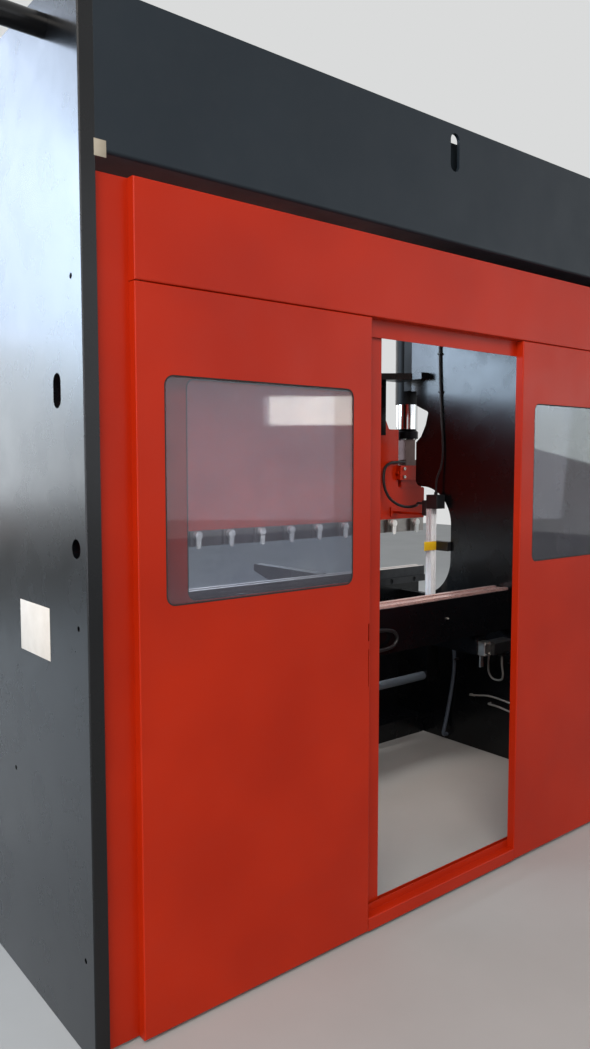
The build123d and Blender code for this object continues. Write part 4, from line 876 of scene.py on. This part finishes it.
def lamp_panel(name, place, target, size, power, colour="#FFFFFF", turn=0.0):
    """A soft lamp that looks at a target, turned about its own axis by some degrees."""
    light = bpy.data.lights.new(name, "AREA")
    light.shape = "RECTANGLE"
    light.size, light.size_y = size
    light.energy = power
    light.color = linear(colour)[:3]
    lamp = bpy.data.objects.new(name, light)
    lamp.location = place
    lamp.rotation_mode = "QUATERNION"
    level = (Vector(target) - Vector(place)).to_track_quat("-Z", "Y")
    lamp.rotation_quaternion = level @ Quaternion((0, 0, 1), math.radians(turn))
    scene.collection.objects.link(lamp)
    return lamp


# Each has a place, a target, a size in metres, a power in watts, a colour and maybe a turn.
# Two light the whole machine: a large one above the camera, a weak one from the hall.
lamp_panel("sky_panel", (4.6, 5.6, 6.2), (0.3, 1.0, 1.6), (5.0, 4.0), 470, "#FFF7EE")
lamp_panel("hall_panel", (-4.0, 7.0, 2.8), (0.3, 1.0, 1.3), (7.0, 4.0), 75, "#DDE2EE")
# Windows that the near frame's black side mirrors, bright above and fading downwards.
lamp_panel("side_window", (3.7, -4.9, 4.15), (1.4, 0.0, 2.2), (1.8, 2.9), 112, "#CFE2FF")
lamp_panel("far_window", (5.5, -4.9, 3.6), (1.4, 0.0, 2.2), (2.0, 2.6), 330, "#BFD9F2")
lamp_panel("side_glow", (3.6, -4.9, 1.95), (1.4, 0.0, 1.6), (1.8, 1.6), 34, "#DDE6EE")
# A tall panel that draws the frame's rear edge.
lamp_panel("edge_panel", (6.2, 2.4, 2.3), (0.4, 1.0, 1.6), (1.2, 4.2), 130, "#F2F5FF")
# Windows that the two panes mirror.
lamp_panel("high_window", (-2.33, 4.6, 1.99), (0.6, 1.1, 1.75), (0.75, 0.24), 3.4, "#FFF8EA")
lamp_panel("far_hall_window", (-6.1, 4.6, 2.14), (-0.7, 1.1, 1.65), (1.7, 1.0), 12, "#E6F2EE", -16)
# One from the operator's side, for the tools and the front.
lamp_panel("front_panel", (-1.5, -5.0, 3.8), (0.0, 0.0, 1.2), (5.0, 4.0), 180)
# Two lamps inside, which light the tools and the rails but are never seen or mirrored themselves.
inner = lamp_panel("inner_lamp", (-0.1, 0.86, 2.05), (-0.1, -0.2, 0.95), (2.3, 0.25), 13, "#F6F1EE")
inner.data.spread = math.radians(90)
above_rails = lamp_panel("rail_lamp", (-0.3, 0.5, 1.12), (-0.3, 0.37, 0.8), (1.8, 0.08), 2.0, "#FFE0D2")
for lamp in (inner, above_rails):
    lamp.visible_camera = False
    lamp.visible_glossy = False
print(len(bpy.data.lights), "lamps")

# %% [markdown]
# ## Backdrop
# The world does two jobs. As light it is a hall, darker near the ground than overhead. As picture
# it is a plain pale backdrop, which shows to the camera, in mirroring surfaces and through clear
# ones. Light Path tells the two apart, so a paler backdrop never lights the paint any brighter.

# %% World
world = bpy.data.worlds.new("studio")
scene.world = world
world.use_nodes = True
tree = world.node_tree
tree.nodes.clear()
towards = node(tree, "ShaderNodeTexCoord").outputs["Generated"]
up = node(tree, "ShaderNodeSeparateXYZ", {"Vector": towards}).outputs["Z"]
glow = node(tree, "ShaderNodeMapRange", span(up, 0.12, 0.7, -0.05, 0.6)).outputs[0]
room = node(tree, "ShaderNodeBackground", {"Color": "#CBD3DC", "Strength": glow}).outputs[0]
backdrop = node(tree, "ShaderNodeBackground", {"Color": "#DADBDB", "Strength": 1.0}).outputs[0]
path = node(tree, "ShaderNodeLightPath")
seen = path.outputs["Is Camera Ray"]
for kind in ("Is Glossy Ray", "Is Transmission Ray"):
    either = {0: seen, 1: path.outputs[kind]}
    seen = node(tree, "ShaderNodeMath", either, operation="MAXIMUM").outputs[0]
both = node(tree, "ShaderNodeMixShader", {0: seen, 1: room, 2: backdrop}).outputs[0]
node(tree, "ShaderNodeOutputWorld", {"Surface": both})
print("world", world.name)

# %% [markdown]
# ## Camera
# The photograph was taken by hand beside the near frame, close to the machine, at eye height. The
# place, direction and lens were fitted to the guard's edges, since only the true viewpoint makes
# all of them run as they do there.

# %% Camera
camera = bpy.data.cameras.new("camera")
camera.lens = 28.12
camera.sensor_width = 36.0
camera.clip_start, camera.clip_end = 0.05, 200.0
eye = bpy.data.objects.new("camera", camera)
scene.collection.objects.link(eye)
eye.location = (2.191, REAR / 1000 + 1.851, 1.533)  # 1.85 m behind the guard, at eye height
look = Vector((-0.6266, -0.7759, -0.0728))
eye.rotation_mode = "QUATERNION"
eye.rotation_quaternion = look.to_track_quat("-Z", "Y")
scene.camera = eye
scene.view_settings.view_transform = "Standard"
print("camera at", tuple(round(v, 3) for v in eye.location))
